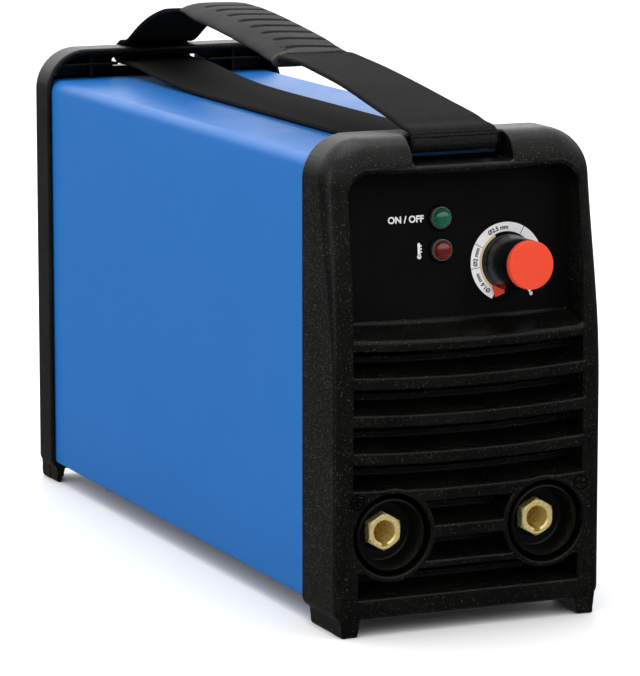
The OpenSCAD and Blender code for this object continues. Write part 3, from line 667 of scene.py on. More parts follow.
def board_finish(name):
    """Solder mask with darker traces and pale dots."""
    m, tree, shader = nodes_of(name, (0.015, 0.1, 0.04), 0.35, coat=0.3)
    cells = node(tree, "ShaderNodeTexVoronoi", Scale=180.0)
    tree.links.new(coords(tree), cells.inputs["Vector"])
    colour_by(tree, shader, cells.outputs["Distance"],
              [(0.06, (0.5, 0.5, 0.45)), (0.12, (0.01, 0.07, 0.03)), (0.8, (0.02, 0.13, 0.05))])
    bump(tree, shader, cells.outputs["Distance"], 0.2, 0.05)
    return m


PAINT = {
    # The case carries painted glints: sparse light specks in its colour
    "case_black": moulded("case_black_look", (0.001, 0.0009, 0.0007), (0.0042, 0.004, 0.0031), 0.36,
                          painted_glints=0.12, specular=0.17),
    "sheet_blue": painted("sheet_blue_look", (0.007, 0.122, 0.4), (0.009, 0.127, 0.415)),
    "zinc_steel": metal("zinc_steel_look", (0.42, 0.43, 0.44), (0.6, 0.6, 0.58), 0.34),
    "webbing_black": woven("webbing_look", (0.003, 0.003, 0.003), (0.022, 0.022, 0.022)),
    "grip_black": moulded("grip_look", (0.012, 0.012, 0.012), (0.028, 0.028, 0.0285), 0.6, 1900.0,
                          specular=0.09),
    "film_black": moulded("film_look", (0.0018, 0.0018, 0.0016), (0.0032, 0.0032, 0.003), 0.5, 2200.0,
                          0.015, specular=0.08),
    "scale_white": glossy("scale_look", (0.88, 0.86, 0.9), (0.93, 0.91, 0.95), 0.4, 0.0, 500.0),
    "lamp_green": lens("lamp_green_look", (0.0, 0.085, 0.035), (0.03, 0.28, 0.16)),
    "lamp_red": lens("lamp_red_look", (0.1, 0.004, 0.004), (0.3, 0.03, 0.025)),
    "knob_black": glossy("knob_look", (0.002, 0.002, 0.002), (0.004, 0.004, 0.004), 0.2, 0.0,
                         specular=0.16),
    "cap_orange": glossy("cap_look", (0.7, 0.06, 0.026), (0.76, 0.067, 0.031), 0.45, 0.0, 700.0,
                         specular=0.1),
    "insulator_black": moulded("insulator_look", (0.0022, 0.0022, 0.002), (0.004, 0.004, 0.0036), 0.34,
                               1200.0, 0.02, specular=0.15),
    "brass": metal("brass_look", (0.92, 0.74, 0.3), (0.97, 0.81, 0.37), 0.24, relief=0.0003, metallic=0.5),
    "copper": metal("copper_look", (0.22, 0.09, 0.045), (0.32, 0.14, 0.07), 0.4, (1, 4, 1)),
    "aluminium": metal("aluminium_look", (0.55, 0.56, 0.57), (0.7, 0.71, 0.72), 0.36, (1, 0.1, 1), 0.4),
    "board_green": board_finish("board_look"),
    "component_black": moulded("component_look", (0.012, 0.012, 0.013), (0.03, 0.03, 0.032), 0.45),
    "component_colour": glossy("component_colour_look", (0.55, 0.28, 0.06), (0.65, 0.36, 0.1), 0.35),
    "ferrite": moulded("ferrite_look", (0.02, 0.02, 0.022), (0.05, 0.05, 0.055), 0.6, 900.0),
    "wire_insulation": glossy("wire_look", (0.012, 0.006, 0.004), (0.02, 0.01, 0.007), 0.4),
    "rocker_red": glossy("rocker_look", (0.36, 0.015, 0.01), (0.45, 0.022, 0.015), 0.25),
    "fan_black": glossy("fan_look", (0.006, 0.006, 0.0065), (0.014, 0.014, 0.015), 0.38, 0.1),
}
# Dark grey for the inner faces of the cover: painted shade for the inside seen through the slots, where the
# sheet is blue too
INSIDE_SHADE = moulded("primer_look", (0.012, 0.013, 0.015), (0.02, 0.021, 0.024), 0.7, 700.0, 0.02, specular=0.1)
# Darker than the film: painted shade standing in for the shade in the engraved lines of the polarity signs
MARK_SHADE = moulded("mark_shade_look", (0.0008, 0.0008, 0.0008), (0.0016, 0.0016, 0.0016), 0.5, specular=0.03)
PRINT_WHITE = glossy("print_white_look", (0.72, 0.72, 0.7), (0.8, 0.8, 0.78), 0.5, 0.0, 900.0)
PRINT_BLACK = glossy("print_black_look", (0.01, 0.01, 0.01), (0.02, 0.02, 0.02), 0.5, 0.0, 900.0)
RIM_CREAM = glossy("rim_cream_look", (0.72, 0.58, 0.34), (0.8, 0.66, 0.42), 0.35, 0.2, 600.0)
RIM_GREY = glossy("lamp_rim_look", (0.05, 0.055, 0.05), (0.09, 0.1, 0.09), 0.25, 0.5, 600.0)


# ---------- case ----------

def slat_field(x, d, z, sill, half_w):
    """A sloping slat behind a sill, with a raised lip along its rear edge."""
    top = sill + SLAT_RISE * (d - SLAT_FRONT) / (SLAT_D - SLAT_FRONT) - 0.6 * smooth_step(4, 12, d)
    across = np.abs(x) - half_w
    board = common(slab(z, top - 2.0, top) * 0.93, slab(d, SLAT_FRONT, SLAT_D), across)
    lip = common(slab(z, sill + 2.8, sill + SLAT_RISE + 1.5), slab(d, SLAT_D - 1.5, SLAT_D), across)
    return blend_min(board, lip, 0.6)


def foot_field(ax, d, z, far):
    """A foot: a short block across the corner and a thin wall along the side."""
    taper = 8 - z
    outside = FOOT_X - 0.06 * taper
    across = common(slab(ax, FOOT_X - 8.6 + 0.16 * taper, outside), slab(d, 0.5, FOOT_BLOCK_D))
    along = common(slab(ax, FOOT_X - 2.5, outside), slab(d, 0.5, far))
    return blend_max(blend_min(across, along, 1.2), slab(z, 0, 9), 1.2)


def sheet_pocket(x, z):
    """Room for the edge of the cover inside a bezel."""
    return outline(x, z, HALF_W - WALL, SOLE_Z + WALL, COVER_TOP + 0.2, 5.5, 2)


def screw_hole(ax, z):
    return np.hypot(ax - BOSS_X, z - BOSS_Z) - 1.5


def boss_field(ax, z, low, high, d):
    """Post for a screw from the base tray."""
    return common(np.hypot(ax - BOSS_X, z - BOSS_Z) - 3.4, slab(d, low, high))


def front_field(x, d, z):
    ax = np.abs(x)
    side = outline(x, z, HALF_W, SOLE_Z, FRONT_TOP, FRONT_R, LOW_R)
    lean = 5.2 * (np.maximum(z - 115, 0) / 65) ** 1.6
    outer = blend_max(side, lean - d, 3.6 + 10 * smooth_step(95, 185, z))
    hollow = common(outer + FACE_T, z - 188.0)
    pocket = common(sheet_pocket(x, z), 25.8 - d, outer + 0.7)
    body = blend_max(blend_max(outer, d - FRONT_DEPTH, 0.9), -either(hollow, pocket), 0.9)
    body = either(body, boss_field(ax, z, 1.5, 28.9, d))
    body = common(body, -common(screw_hole(ax, z), 10 - d))

    # Control recess with its tray
    floor = RECESS_D + math.tan(TILT) * (z - KNOB_Z)
    bowed = z + 1.6 * (1 - (x / RECESS_HALF_W) ** 2)
    pit = blend_max(outline(x, bowed, RECESS_HALF_W, RECESS_LOW, RECESS_TOP, 10, 1.5), d - floor, 1.0)
    pit = blend_max(pit, RECESS_LOW + 1.3 + 0.28 * d - bowed, 2.0)
    body = blend_min(body, common(pit - 2.2, outer + 0.02), 0.4)
    body = blend_max(body, -pit, 2.0)

    # Louvres, bowed down in the middle, each over a sloping slat
    bowed = z + SAG * (1 - (x / LOUVRE_HALF_W) ** 2)
    side_wall = slab(ax, LOUVRE_HALF_W, LOUVRE_HALF_W + 1.8)
    slats = common(side_wall, slab(d, SLAT_FRONT, SLAT_D), slab(z, 58, 117))
    for sill in LOUVRE_SILLS:
        slot = common(ax - LOUVRE_HALF_W, slab(bowed, sill, sill + LOUVRE_H), d - CUT_D)
        body = blend_max(body, -slot, 1.0)
        slats = either(slats, slat_field(x, d, bowed, sill, LOUVRE_HALF_W + 1.0))

    # Slots between and under the socket rings
    ring = np.hypot(ax - SOCKET_X, z - SOCKET_Z)
    for sill, top, half_w in SOCKET_SLOTS:
        slot = common(ax - half_w, slab(z, sill, top), d - CUT_D, RING_OUTER_R - ring)
        body = blend_max(body, -slot, 1.0)
        slats = either(slats, common(slat_field(x, d, z, sill, half_w + 1.0), RING_INNER_R + 0.5 - ring))
    body = blend_min(body, slats, 0.8)
    body = blend_min(body, blend_max(ring - RING_OUTER_R, slab(d, 0.0, RING_D), 0.9), 0.3)
    body = blend_max(body, RING_INNER_R - ring, 0.9)

    body = blend_min(body, foot_field(ax, d, z, 32.0), 1.0)

    # Tunnel for the strap and its seat in front of the bar
    tunnel = outline(x, z, SLOT_HALF_W, 189.4, 196.0, 1.5, 1.5)
    seat = blend_max(outline(x, z, SLOT_HALF_W, 189.4, 203.0, 6, 1.5), d - 18.4, 1.2)
    body = blend_max(body, -either(tunnel, seat), 1.5)

    # Holes for the lamps and the shaft
    fd, fz = flat_coords(d, z)
    for hx, hz, r in [(LAMP_X, lamp_z, 4.3) for lamp_z in LAMPS_Z.values()] + [(KNOB_X, KNOB_Z, 3.6)]:
        body = common(body, -common(np.hypot(x - hx, fz - hz) - r, slab(fd, 10, 22)))
    return body


def rear_field(x, d, z):
    ax = np.abs(x)
    side = outline(x, z, HALF_W, SOLE_Z, REAR_TOP, TOP_R, LOW_R)
    front = CASE_D - REAR_DEPTH
    shell = blend_max(blend_max(side, d - CASE_D, 6.0), front - d, 1.6)
    body = blend_max(shell, -common(sheet_pocket(x, z), d - CASE_D + FACE_T), 0.8)
    # Hollow above the cover, stiffened by ribs
    hollow = outline(x, z, HALF_W - 2.8, COVER_TOP - 8, REAR_TOP - 2.8, TOP_R - 2.8, 2)
    ribs = either(np.abs(ax - 36) - 0.7, np.abs(z - 198.6) - 0.6)
    hollow = common(hollow, COVER_TOP - 3 - z, d - CASE_D + 8, -common(ribs, front + 3.5 - d))
    body = blend_max(body, -hollow, 0.8)
    body = blend_min(body, foot_field(ax, CASE_D - d, z, 20.0), 1.0)
    body = either(body, boss_field(ax, z, CASE_D - 12.9, CASE_D - 1.5, d))
    body = common(body, -common(screw_hole(ax, z), d - CASE_D + 6))
    # Fan opening, screw holes and the other cut-outs
    body = blend_max(body, -common(np.hypot(x, z - FAN_Z) - 38, CASE_D - 8 - d), 1.2)
    screws = np.hypot(ax - FAN_PITCH / 2, np.abs(z - FAN_Z) - FAN_PITCH / 2) - 2.3
    switch = common(np.abs(x + CONTROLS_X) - 11.2, np.abs(z - CONTROLS_Z) - 14.2)
    gland = np.hypot(x - CONTROLS_X, z - CONTROLS_Z) - 10.2
    stud = np.hypot(x, z - STUD_Z) - 2.7
    body = common(body, -common(either(screws, switch, gland, stud), CASE_D - 10 - d))
    # Air slots above the fan
    for low in (122.5, 129.5, 136.5):
        body = blend_max(body, -common(slab(ax, 33, 50), slab(z, low, low + 3.5), CASE_D - 8 - d), 0.9)
    # Tunnel for the strap and its seat behind the bar
    tunnel = outline(x, z, SLOT_HALF_W, 196.4, 200.4, 1.5, 1.5)
    seat = blend_max(outline(x, z, SLOT_HALF_W, 196.4, 211.0, 3, 1.5), CASE_D - 5 - d, 1.2)
    return blend_max(body, -either(tunnel, seat), 1.2)


def build_case():
    carve("front_bezel", front_field, (-62, -2, -2), (62, 37, 204), 0.62, 150000,
          "case_black", ["front_panel"])
    carve("rear_bezel", rear_field, (-62, 330, -2), (62, 356, 209), 0.75, 90000,
          "case_black", ["rear_panel"])
    build_cover()
    build_polarity_marks()


def build_cover():
    """Folded steel sheet: two sides, the top and a flange under each side."""
    flange = 12.0
    outer = sheet_line(COVER_HALF_W, COVER_LOW, COVER_TOP, 5.2, 1.8, flange)
    inner = sheet_line(COVER_HALF_W - SHEET_T, COVER_LOW + SHEET_T, COVER_TOP - SHEET_T, 4.0, 0.6, flange)
    loop = outer + inner[::-1]
    depths = [COVER_FRONT, COVER_FRONT + 0.3] + list(np.linspace(COVER_FRONT + 10, COVER_REAR - 10, 20))
    depths += [COVER_REAR - 0.3, COVER_REAR]
    points = [(x, d, z) for d in depths for x, z in loop]
    n = len(loop)
    faces = grid(len(depths), n, round_cols=True)
    half = n // 2
    last = (len(depths) - 1) * n
    for k in range(half - 1):
        faces.append((k, k + 1, n - 2 - k, n - 1 - k))
        faces.append((last + k + 1, last + k, last + n - 1 - k, last + n - 2 - k))
    piece = add_piece("cover_sheet", points, faces, "sheet_blue", ["cover"],
                      looks=[PAINT["sheet_blue"], INSIDE_SHADE])
    # Its inner faces take the dark painted shade
    for face in piece.data.polygons:
        face.material_index = int(all(k % n >= n // 2 for k in face.vertices))
    tidy_mesh(piece.data, 35)


def sheet_line(half_w, low, top, r_top, r_low, flange):
    """Open line of the sheet from the left flange's edge round to the right one."""
    left = [(-half_w + flange, low), (-half_w + r_low, low)]
    left += arc(-half_w + r_low, low + r_low, r_low, 270, 180, 5)[1:]
    left += [(-half_w, low + (top - low) * k / 6) for k in range(1, 6)]
    left += arc(-half_w + r_top, top - r_top, r_top, 180, 90, 8)
    middle = [(-half_w + r_top + (half_w - r_top) * k / 4, top) for k in range(1, 4)]
    right = [(-x, z) for x, z in reversed(left + middle)]
    return left + middle + [(0.0, top)] + right


def build_polarity_marks():
    """Thin raised plus and minus signs, each in a ring, beside the sockets. Their darker colour is painted
    shade for engraved lines.
    """
    for name, x, z, plus in (("mark_positive", -49.8, 55.9, True), ("mark_negative", 50.4, 55.8, False)):
        parts = [ring_band(x, z, 2.65, 3.15, -0.22, 0.3)]
        parts.append(bar(x - 2.1, x + 2.1, z - 0.28, z + 0.28, -0.22, 0.3))
        if plus:
            parts.append(bar(x - 0.28, x + 0.28, z - 2.1, z + 2.1, -0.23, 0.29))
        add_piece(name, *join_parts(parts), "film_black", looks=[MARK_SHADE], flat=True)


def ring_band(x, z, r0, r1, d0, d1):
    """A flat ring of rectangular section."""
    return lathe([(r0, d0), (r1, d0), (r1, d1), (r0, d1), (r0, d0)], (x, z), 48)


def bar(x0, x1, z0, z1, d0, d1):
    """A small bar with its six faces."""
    p = [(x, d, z) for d in (d0, d1) for x, z in ((x0, z0), (x1, z0), (x1, z1), (x0, z1))]
    return p, [(0, 1, 2, 3), (7, 6, 5, 4), (0, 4, 5, 1), (1, 5, 6, 2), (2, 6, 7, 3), (3, 7, 4, 0)]


# ---------- carrying handle ----------

def in_sleeve(d):
    """How far the grip has closed round the webbing at a depth, from 0 to 1."""
    rear = smooth_step(GRIP_REAR - 5, GRIP_REAR + 4, d)
    return smooth_step(GRIP_FRONT - 1, GRIP_FRONT + 7, d) * (1 - rear)


def strap_width(d, z):
    """Half width of the webbing, folded narrower inside the grip."""
    if z < STRAND_Z:
        return STRAP_HALF_W
    rear = smooth_step(GRIP_REAR - 5, GRIP_REAR + 4, d)
    near = smooth_step(GRIP_FRONT - 34, GRIP_FRONT - 1, d) * (1 - rear)
    return STRAP_HALF_W - float(0.9 * near + 9.4 * in_sleeve(d) + 1.6 * rear)


def strap_lift(x, d, z):
    """Height added across the webbing: its left edge lifts a little in front of the grip."""
    if z < 202:
        return 0.0
    twist = smooth_step(20, 95, d) * (1 - smooth_step(125, 165, d))
    return float(twist * 1.5 * (1 - x / STRAP_HALF_W))


def build_strap():
    line = spline(STRAP_PATH, 2.4)
    n = len(line)
    # Half of the section: a flat band with rounded edges and slightly raised selvedges
    section = [(0.0, 1.0), (0.3, 1.0), (0.6, 1.0), (0.82, 1.0), (0.9, 1.08), (0.96, 1.04), (0.985, 0.8),
               (1.0, 0.3)]
    upper = [(-u, v) for u, v in reversed(section[1:])] + section
    loop = upper + [(u, -v) for u, v in reversed(upper)]
    points = []
    for i, (d, z) in enumerate(line):
        t = line[(i + 1) % n] - line[i - 1]
        t /= np.linalg.norm(t)
        half = strap_width(d, z)
        thick = STRAP_T * (0.93 - (0.43 * in_sleeve(d) if z > STRAND_Z else 0))
        for u, v in loop:
            x = u * half
            off = -v * thick / 2
            points.append((x, d + off * -t[1], z + off * t[0] + strap_lift(x, d, z)))
    faces = grid(n, len(loop), True, True)
    tidy_mesh(add_piece("strap_webbing", points, faces, "webbing_black", ["handle_strap"]).data)


def grip_field(x, d, z):
    crown_d, crown_z = zip(*CROWN)
    top = np.interp(d, crown_d, crown_z)
    thick = 6.4 - 2.2 * smooth_step(250, 285, d)
    ax = np.abs(x)
    up = z - top
    body = blend_max(ax - GRIP_HALF_W, up + 0.002 * x * x, 2.6)
    near = 1 - smooth_step(GRIP_FRONT, GRIP_FRONT + 10, d)
    body = blend_max(body, (-x - 11.0 - 9.0 * near) * 0.5 + (up + 0.3) * 0.87, 4.5)
    body = blend_max(body, (x - 16.2) * 0.6 + (up + 0.5) * 0.8, 1.2)
    body = blend_max(body, -thick - up, 3.5)
    body = blend_max(body, GRIP_FRONT + 0.3 - d, 2.4)
    body = blend_max(body, d - GRIP_REAR + 0.3, 5.0)
    # Finger grooves, slanting slightly across the crown
    for k in range(8):
        off = d - 170.5 - 13.2 * k + 0.14 * (x + 9)
        reach = np.maximum(np.abs(x - 4.2) - 10.8, 0)
        groove = np.hypot(np.hypot(reach, off), 0.95 * (up - 0.2)) - 1.9
        body = blend_max(body, -groove, 0.7)
    # Way through for the webbing, under a skin of 0.3 mm
    path_d, path_z = zip(*sorted(p for p in STRAP_PATH if p[1] > STRAND_Z))
    web = z - np.interp(d, path_d, path_z)
    open_end = 1 - in_sleeve(d)
    way = common(ax - 9.3 - 6.4 * open_end, np.abs(web) - 0.6 - 0.5 * open_end)
    return common(body, -common(way, body + 0.3 * (1 - open_end)))


def build_handle():
    build_strap()
    carve("grip_sleeve", grip_field, (-21, 154, 208), (21, 288, 235), 0.5, 90000,
          "grip_black", ["handle_grip"])


# ---------- controls ----------

def glyphs(text, size):
    """Outline of a short label as flat points (u, v) and faces, centred on its own middle."""
    curve = bpy.data.curves.new("label", "FONT")
    curve.body = text
    curve.size = size
    curve.align_x = "CENTER"
    curve.resolution_u = 4
    curve.offset = 0.035 * size
    mesh = evaluated(linked("label", curve))
    points = [(v.co.x, v.co.y - 0.35 * size) for v in mesh.vertices]
    return points, [tuple(p.vertices) for p in mesh.polygons]


def flat_print(text, size, x, z, d):
    points, faces = glyphs(text, size)
    return [(x + u, d, z + v) for u, v in points], faces


def ring_print(text, size, radius, clock, d):
    """A label bent round the knob, its middle at a clock angle in degrees from twelve."""
    points, faces = glyphs(text, size)
    made = []
    for u, v in points:
        a = math.radians(clock) + u / radius
        made.append((KNOB_X + (radius + v) * math.sin(a), d, KNOB_Z + (radius + v) * math.cos(a)))
    return made, faces


def sector(r0, r1, a0, a1, d, n=40):
    """A flat band round the knob from clock angle a0 to a1."""
    points = []
    for i in range(n + 1):
        a = math.radians(a0 + (a1 - a0) * i / n)
        for r in (r0, r1):
            points.append((KNOB_X + r * math.sin(a), d, KNOB_Z + r * math.cos(a)))
    return points, strip(n)


def thick_sector(r0, r1, a0, a1, d0, d1):
    """The same band with a thickness, from depth d0 to d1."""
    n = 60
    front = sector(r0, r1, a0, a1, d0, n)
    back = sector(r0, r1, a0, a1, d1, n)
    count = len(front[0])
    faces = list(front[1]) + [tuple(count + i for i in reversed(f)) for f in back[1]]
    for i in range(n):
        for k, flip in ((0, False), (1, True)):
            quad = (2 * i + k, 2 * i + 2 + k, count + 2 * i + 2 + k, count + 2 * i + k)
            faces.append(quad if flip else quad[::-1])
    faces.append((0, 1, count + 1, count))
    faces.append((2 * n + 1, 2 * n, count + 2 * n, count + 2 * n + 1))
    return front[0] + back[0], faces


def add_print(name, parts, look, slot):
    """Flat marks on the control face."""
    points, faces = join_parts(parts)
    face_towards(add_piece(name, on_face(points), faces, slot, looks=[look], flat=True).data, -1)


def build_film():
    rim = RECESS_HALF_W - 0.15
    r = 9.8
    edge = arc(rim - r, 187.3 - r, r, 0, 90, 10) + arc(-rim + r, 187.3 - r, r, 90, 180, 10)
    edge += [(-rim, 126.3), (rim, 126.3)]
    holes = [circle(LAMP_X, z, 5.5) for z in LAMPS_Z.values()] + [circle(KNOB_X, KNOB_Z, 6.2)]
    points, faces = plate([edge] + holes, RECESS_D - FILM_T, RECESS_D)
    add_piece("control_film_sheet", on_face(points), faces, "film_black", ["control_film"], flat=True)


def build_prints():
    face = RECESS_D - FILM_T - 0.05
    labels = [flat_print("ON / OFF", 3.8, -20.7, 166.4, face)]
    # Thermometer: a stem with a bulb and three graduations
    labels.append(stadium(-15.2, 151.4, 156.0, 0.62, face))
    labels.append(disc(-15.2, 151.0, 0.95, face))
    labels += [box_print(-14.7, -13.9, z - 0.25, z + 0.25, face) for z in (152.9, 154.1, 155.3)]
    # Dot that ends the dial on its lower right
    labels.append(disc(KNOB_X + 10.7, KNOB_Z - 13.6, 0.8, face))
    add_print("panel_print", labels, PRINT_WHITE, "scale_white")

    top = face - 0.2
    points, faces = thick_sector(12.5, 16.3, 206, 503, top, face + 0.05)
    add_piece("dial_band", on_face(points), faces, "scale_white", ["dial_scale"], flat=True)
    points, faces = thick_sector(11.6, 12.5, 214, 335, top - 0.5, face + 0.05)
    add_piece("dial_rim", on_face(points), faces, "scale_white", looks=[RIM_CREAM], flat=True)
    marks = [sector(12.5, 16.3, a - 0.5, a + 0.5, top - 0.04, 2) for a in (262.5, 300, 390)]
    for text, clock in (("Ø1.6 mm", 234), ("Ø2 mm", 281), ("Ø2.5 mm", 345)):
        marks.append(ring_print(text, 2.5, 14.3, clock, top - 0.04))
    add_print("dial_marks", marks, PRINT_BLACK, "film_black")


def disc(x, z, r, d):
    ring = circle(x, z, r, 28)
    return [(px, d, pz) for px, pz in ring], [tuple(range(len(ring)))]


def stadium(x, z0, z1, r, d):
    ring = arc(x, z1, r, 0, 180, 10) + arc(x, z0, r, 180, 360, 10)
    return [(px, d, pz) for px, pz in ring], [tuple(range(len(ring)))]


def box_print(x0, x1, z0, z1, d):
    return [(x0, d, z0), (x1, d, z0), (x1, d, z1), (x0, d, z1)], [(0, 1, 2, 3)]


def at_face(profile):
    """A profile whose depths are measured from the recess floor."""
    return [(r, RECESS_D + d) for r, d in profile]


def build_lamps():
    dome = [(3.75 * math.cos(math.radians(a)), -2.4 - 2.9 * math.sin(math.radians(a)))
            for a in range(0, 90, 9)]
    dome = at_face([(3.75, 4)] + dome + [(0.02, -5.3)])
    rim = at_face([(3.8, -2.2), (4.0, -2.6), (4.35, -2.5), (4.5, -2.0), (4.5, -1.0), (3.8, -1.0)])
    holder = at_face([(3.85, -1.2), (4.9, -1.4), (5.3, -1.0), (5.4, 0), (4.25, 0.1), (4.25, 6), (3.85, 6)])
    for node_name, slot in (("power_lamp_lens", "lamp_green"), ("thermal_lamp_lens", "lamp_red")):
        centre = (LAMP_X, LAMPS_Z[node_name])
        turned(slot + "_lens", dome, centre, slot, [node_name], tilted=True)
        turned(slot + "_rim", rim, centre, "film_black", looks=[RIM_GREY], tilted=True, closed=True)
        turned(slot + "_holder", holder, centre, "film_black", ["lamp_holders"], tilted=True, closed=True)


def build_knob():
    rear = RECESS_D - FILM_T - 1.2
    front = RECESS_D - KNOB_LEN
    seam = front + CAP_T

    skirt = [(6.8, rear - 2.8), (6.9, rear - 0.1), (7.0, rear), (KNOB_R - 0.4, rear), (KNOB_R, rear - 0.4),
             (KNOB_R, rear - 2.6), (KNOB_R - 0.3, rear - 3.3)]
    cone = [(11.0 + (CAP_R + 0.15 - 11.0) * k / 8, rear - 4 + (seam - rear + 4.3) * k / 8)
            for k in range(9)]
    profile = skirt + cone + [(CAP_R - 0.1, seam), (CAP_R - 0.6, seam + 0.05), (0.02, seam + 0.05)]
    profile = [(3.02, rear - 2.8)] + profile
    turned("knob_grip", profile, (KNOB_X, KNOB_Z), "knob_black", ["knob_body"], "knob", segments=120,
           tilted=True)
    cap = [(0.02, seam), (CAP_R - 0.3, seam), (CAP_R, seam - 0.25), (CAP_R, front + 1.2)]
    cap += [(CAP_R - 1.0 + 1.0 * math.cos(math.radians(a)), front + 1.0 - 0.75 * math.sin(math.radians(a)))
            for a in range(15, 91, 15)]
    cap += [(CAP_R * 0.7, front + 0.12), (CAP_R * 0.35, front + 0.03), (0.02, front)]
    turned("knob_button", cap, (KNOB_X, KNOB_Z), "cap_orange", ["knob_cap"], "knob", tilted=True)
    clock = 205.0
    loop = []
    for r, da in ((10.9, 12.0), (12.1, 13.2), (15.4, 0.0), (12.8, -13.5), (10.9, -12.0)):
        a = math.radians(clock + da)
        loop.append((KNOB_X + r * math.sin(a), KNOB_Z + r * math.cos(a)))
    points, faces = plate([loop], rear - 1.4, rear - 0.1, 0.18)
    add_piece("knob_arrow", on_face(points), faces, "cap_orange", ["knob_pointer"], "knob", flat=True)


# ---------- output sockets ----------

def build_sockets():
    lip = [(14.2, 1.0), (14.55, 1.15), (14.95, 1.55), (15.15, 2.1)]
    bore = [(7.15, 17.9), (7.15, 11.8), (7.5, 11.6), (11.7, 11.5), (12.4, 11.0), (12.7, 10.0), (13.1, 6.0),
            (13.7, 2.6)]
    flange = [(15.2, 4.0), (15.2, 11.0), (15.4, 11.8), (16.2, 12.0), (16.9, 12.2), (16.9, RING_D)]
    barrel = [(11.0, RING_D), (11.0, 30.0), (6.05, 30.0), (6.05, 18.0)]
    for side, name in ((-1, "positive"), (1, "negative")):
        centre = (side * SOCKET_X, SOCKET_Z)
        turned(f"{name}_socket_shell", bore + lip + flange + barrel, centre, "insulator_black",
               [f"{name}_insulator"], closed=True)

        def insert_field(x, d, z):
            u, v = x - centre[0], z - SOCKET_Z
            r = np.hypot(u, v)
            head = blend_max(hexagon(u, v, INSERT_AF), slab(d, INSERT_D, 18), 0.35)
            head = blend_max(head, (r - 6.9 - (d - INSERT_D) * 1.1) * 0.67, 0.2)
            body = either(head, common(r - 6.0, slab(d, 17, 48)))
            keyed = blend_min(r - BORE_R, common(np.abs(u) - 1.3, slab(v, -6.2, 0)), 0.3)
            keyed = common(keyed, d - INSERT_D - 24.5)
            mouth = (r - BORE_R - 0.6 + (d - INSERT_D)) * 0.7
            return blend_max(body, -either(keyed, mouth), 0.3)

        carve(f"{name}_contact", insert_field, (centre[0] - 9, 6.5, SOCKET_Z - 9),
              (centre[0] + 9, 49, SOCKET_Z + 9), 0.3, 40000, "brass", [f"{name}_insert"])


# ---------- rear ----------

def build_fan():
    wires = []
    d = CASE_D + 1.0
    for r in range(10, 39, 7):
        wires.append(tube([(x, d, z) for x, z in circle(0, FAN_Z, r, 96)], 0.8))
    reach = FAN_PITCH / math.sqrt(2)
    for a in (45, 135, 225, 315):
        c, s = math.cos(math.radians(a)), math.sin(math.radians(a))
        spoke = [(c * r, d + 0.06, FAN_Z + s * r) for r in np.linspace(9.6, reach - 3.2, 12)]
        wires.append(tube(spoke, 0.78, False))
        eye = [(c * reach + 3.0 * math.cos(t), d, FAN_Z + s * reach + 3.0 * math.sin(t))
               for t in np.linspace(0, 2 * math.pi, 32, endpoint=False)]
        wires.append(tube(eye, 0.78))
    add_piece("fan_finger_guard", *join_parts(wires), "zinc_steel", ["fan_guard"])

    low, high = span("fan_rotor", 1)
    hub_front, hub_rear = low + 3.5, high
    hub = [(15.0, hub_rear - 2.6), (15.0, hub_front), (16.6, hub_front), (17.0, hub_front + 0.4),
           (17.0, hub_rear - 1.2), (16.6, hub_rear - 0.3), (15.6, hub_rear), (6.0, hub_rear),
           (5.6, hub_rear - 0.3), (0.02, hub_rear - 0.3), (0.02, hub_rear - 2.6)]
    shaft = [(0.02, low + 0.1), (1.5, low + 0.1), (1.5, hub_rear - 2.5), (0.02, hub_rear - 2.5)]
    parts = [rotor_hub(hub)]
    for i in range(7):
        parts.append(blade(i * 360 / 7, (hub_front + hub_rear) / 2))
    parts.append(rotor_hub(shaft))
    piece = add_piece("fan_impeller", *join_parts(parts), "fan_black", ["fan_rotor"], "fan_rotor")
    tidy_mesh(piece.data, 35)


def rotor_hub(profile):
    points, faces = lathe(profile, (0, FAN_Z), 72)
    return points, capped(faces, len(profile), 72)


def blade(angle, middle):
    """One swept blade: its pitch flattens towards the tip, and its thickness tapers."""
    points = []
    rows, cols = 12, 10
    for side in (1, -1):
        for i in range(rows):
            s = i / (rows - 1)
            r = 16.4 + (36.6 - 16.4) * s
            pitch = math.radians(50 - 18 * s)
            chord = 9.5 + 2.0 * s
            for k in range(cols):
                u = 2 * k / (cols - 1) - 1
                along = u * chord * math.cos(pitch)
                depth = u * chord * math.sin(pitch) * 0.86 + 1.4 * (1 - u * u)
                thick = side * (0.75 - 0.2 * s) * math.sqrt(max(1 - u**4, 0.02))
                a = math.radians(angle) + along / r + 0.18 * s
                points.append((r * math.sin(a), middle - depth + thick, FAN_Z + r * math.cos(a)))
    half = rows * cols
    faces = grid(rows, cols)
    faces += [tuple(half + i for i in reversed(face)) for face in faces]
    # Point numbers round the edge of one side, joined to those of the other side
    edge = list(range(cols - 1)) + [i * cols + cols - 1 for i in range(rows - 1)]
    edge += [half - 1 - k for k in range(cols - 1)] + [i * cols for i in range(rows - 1, 0, -1)]
    faces += [(edge[i], edge[i - 1], half + edge[i - 1], half + edge[i]) for i in range(len(edge))]
    return points, faces


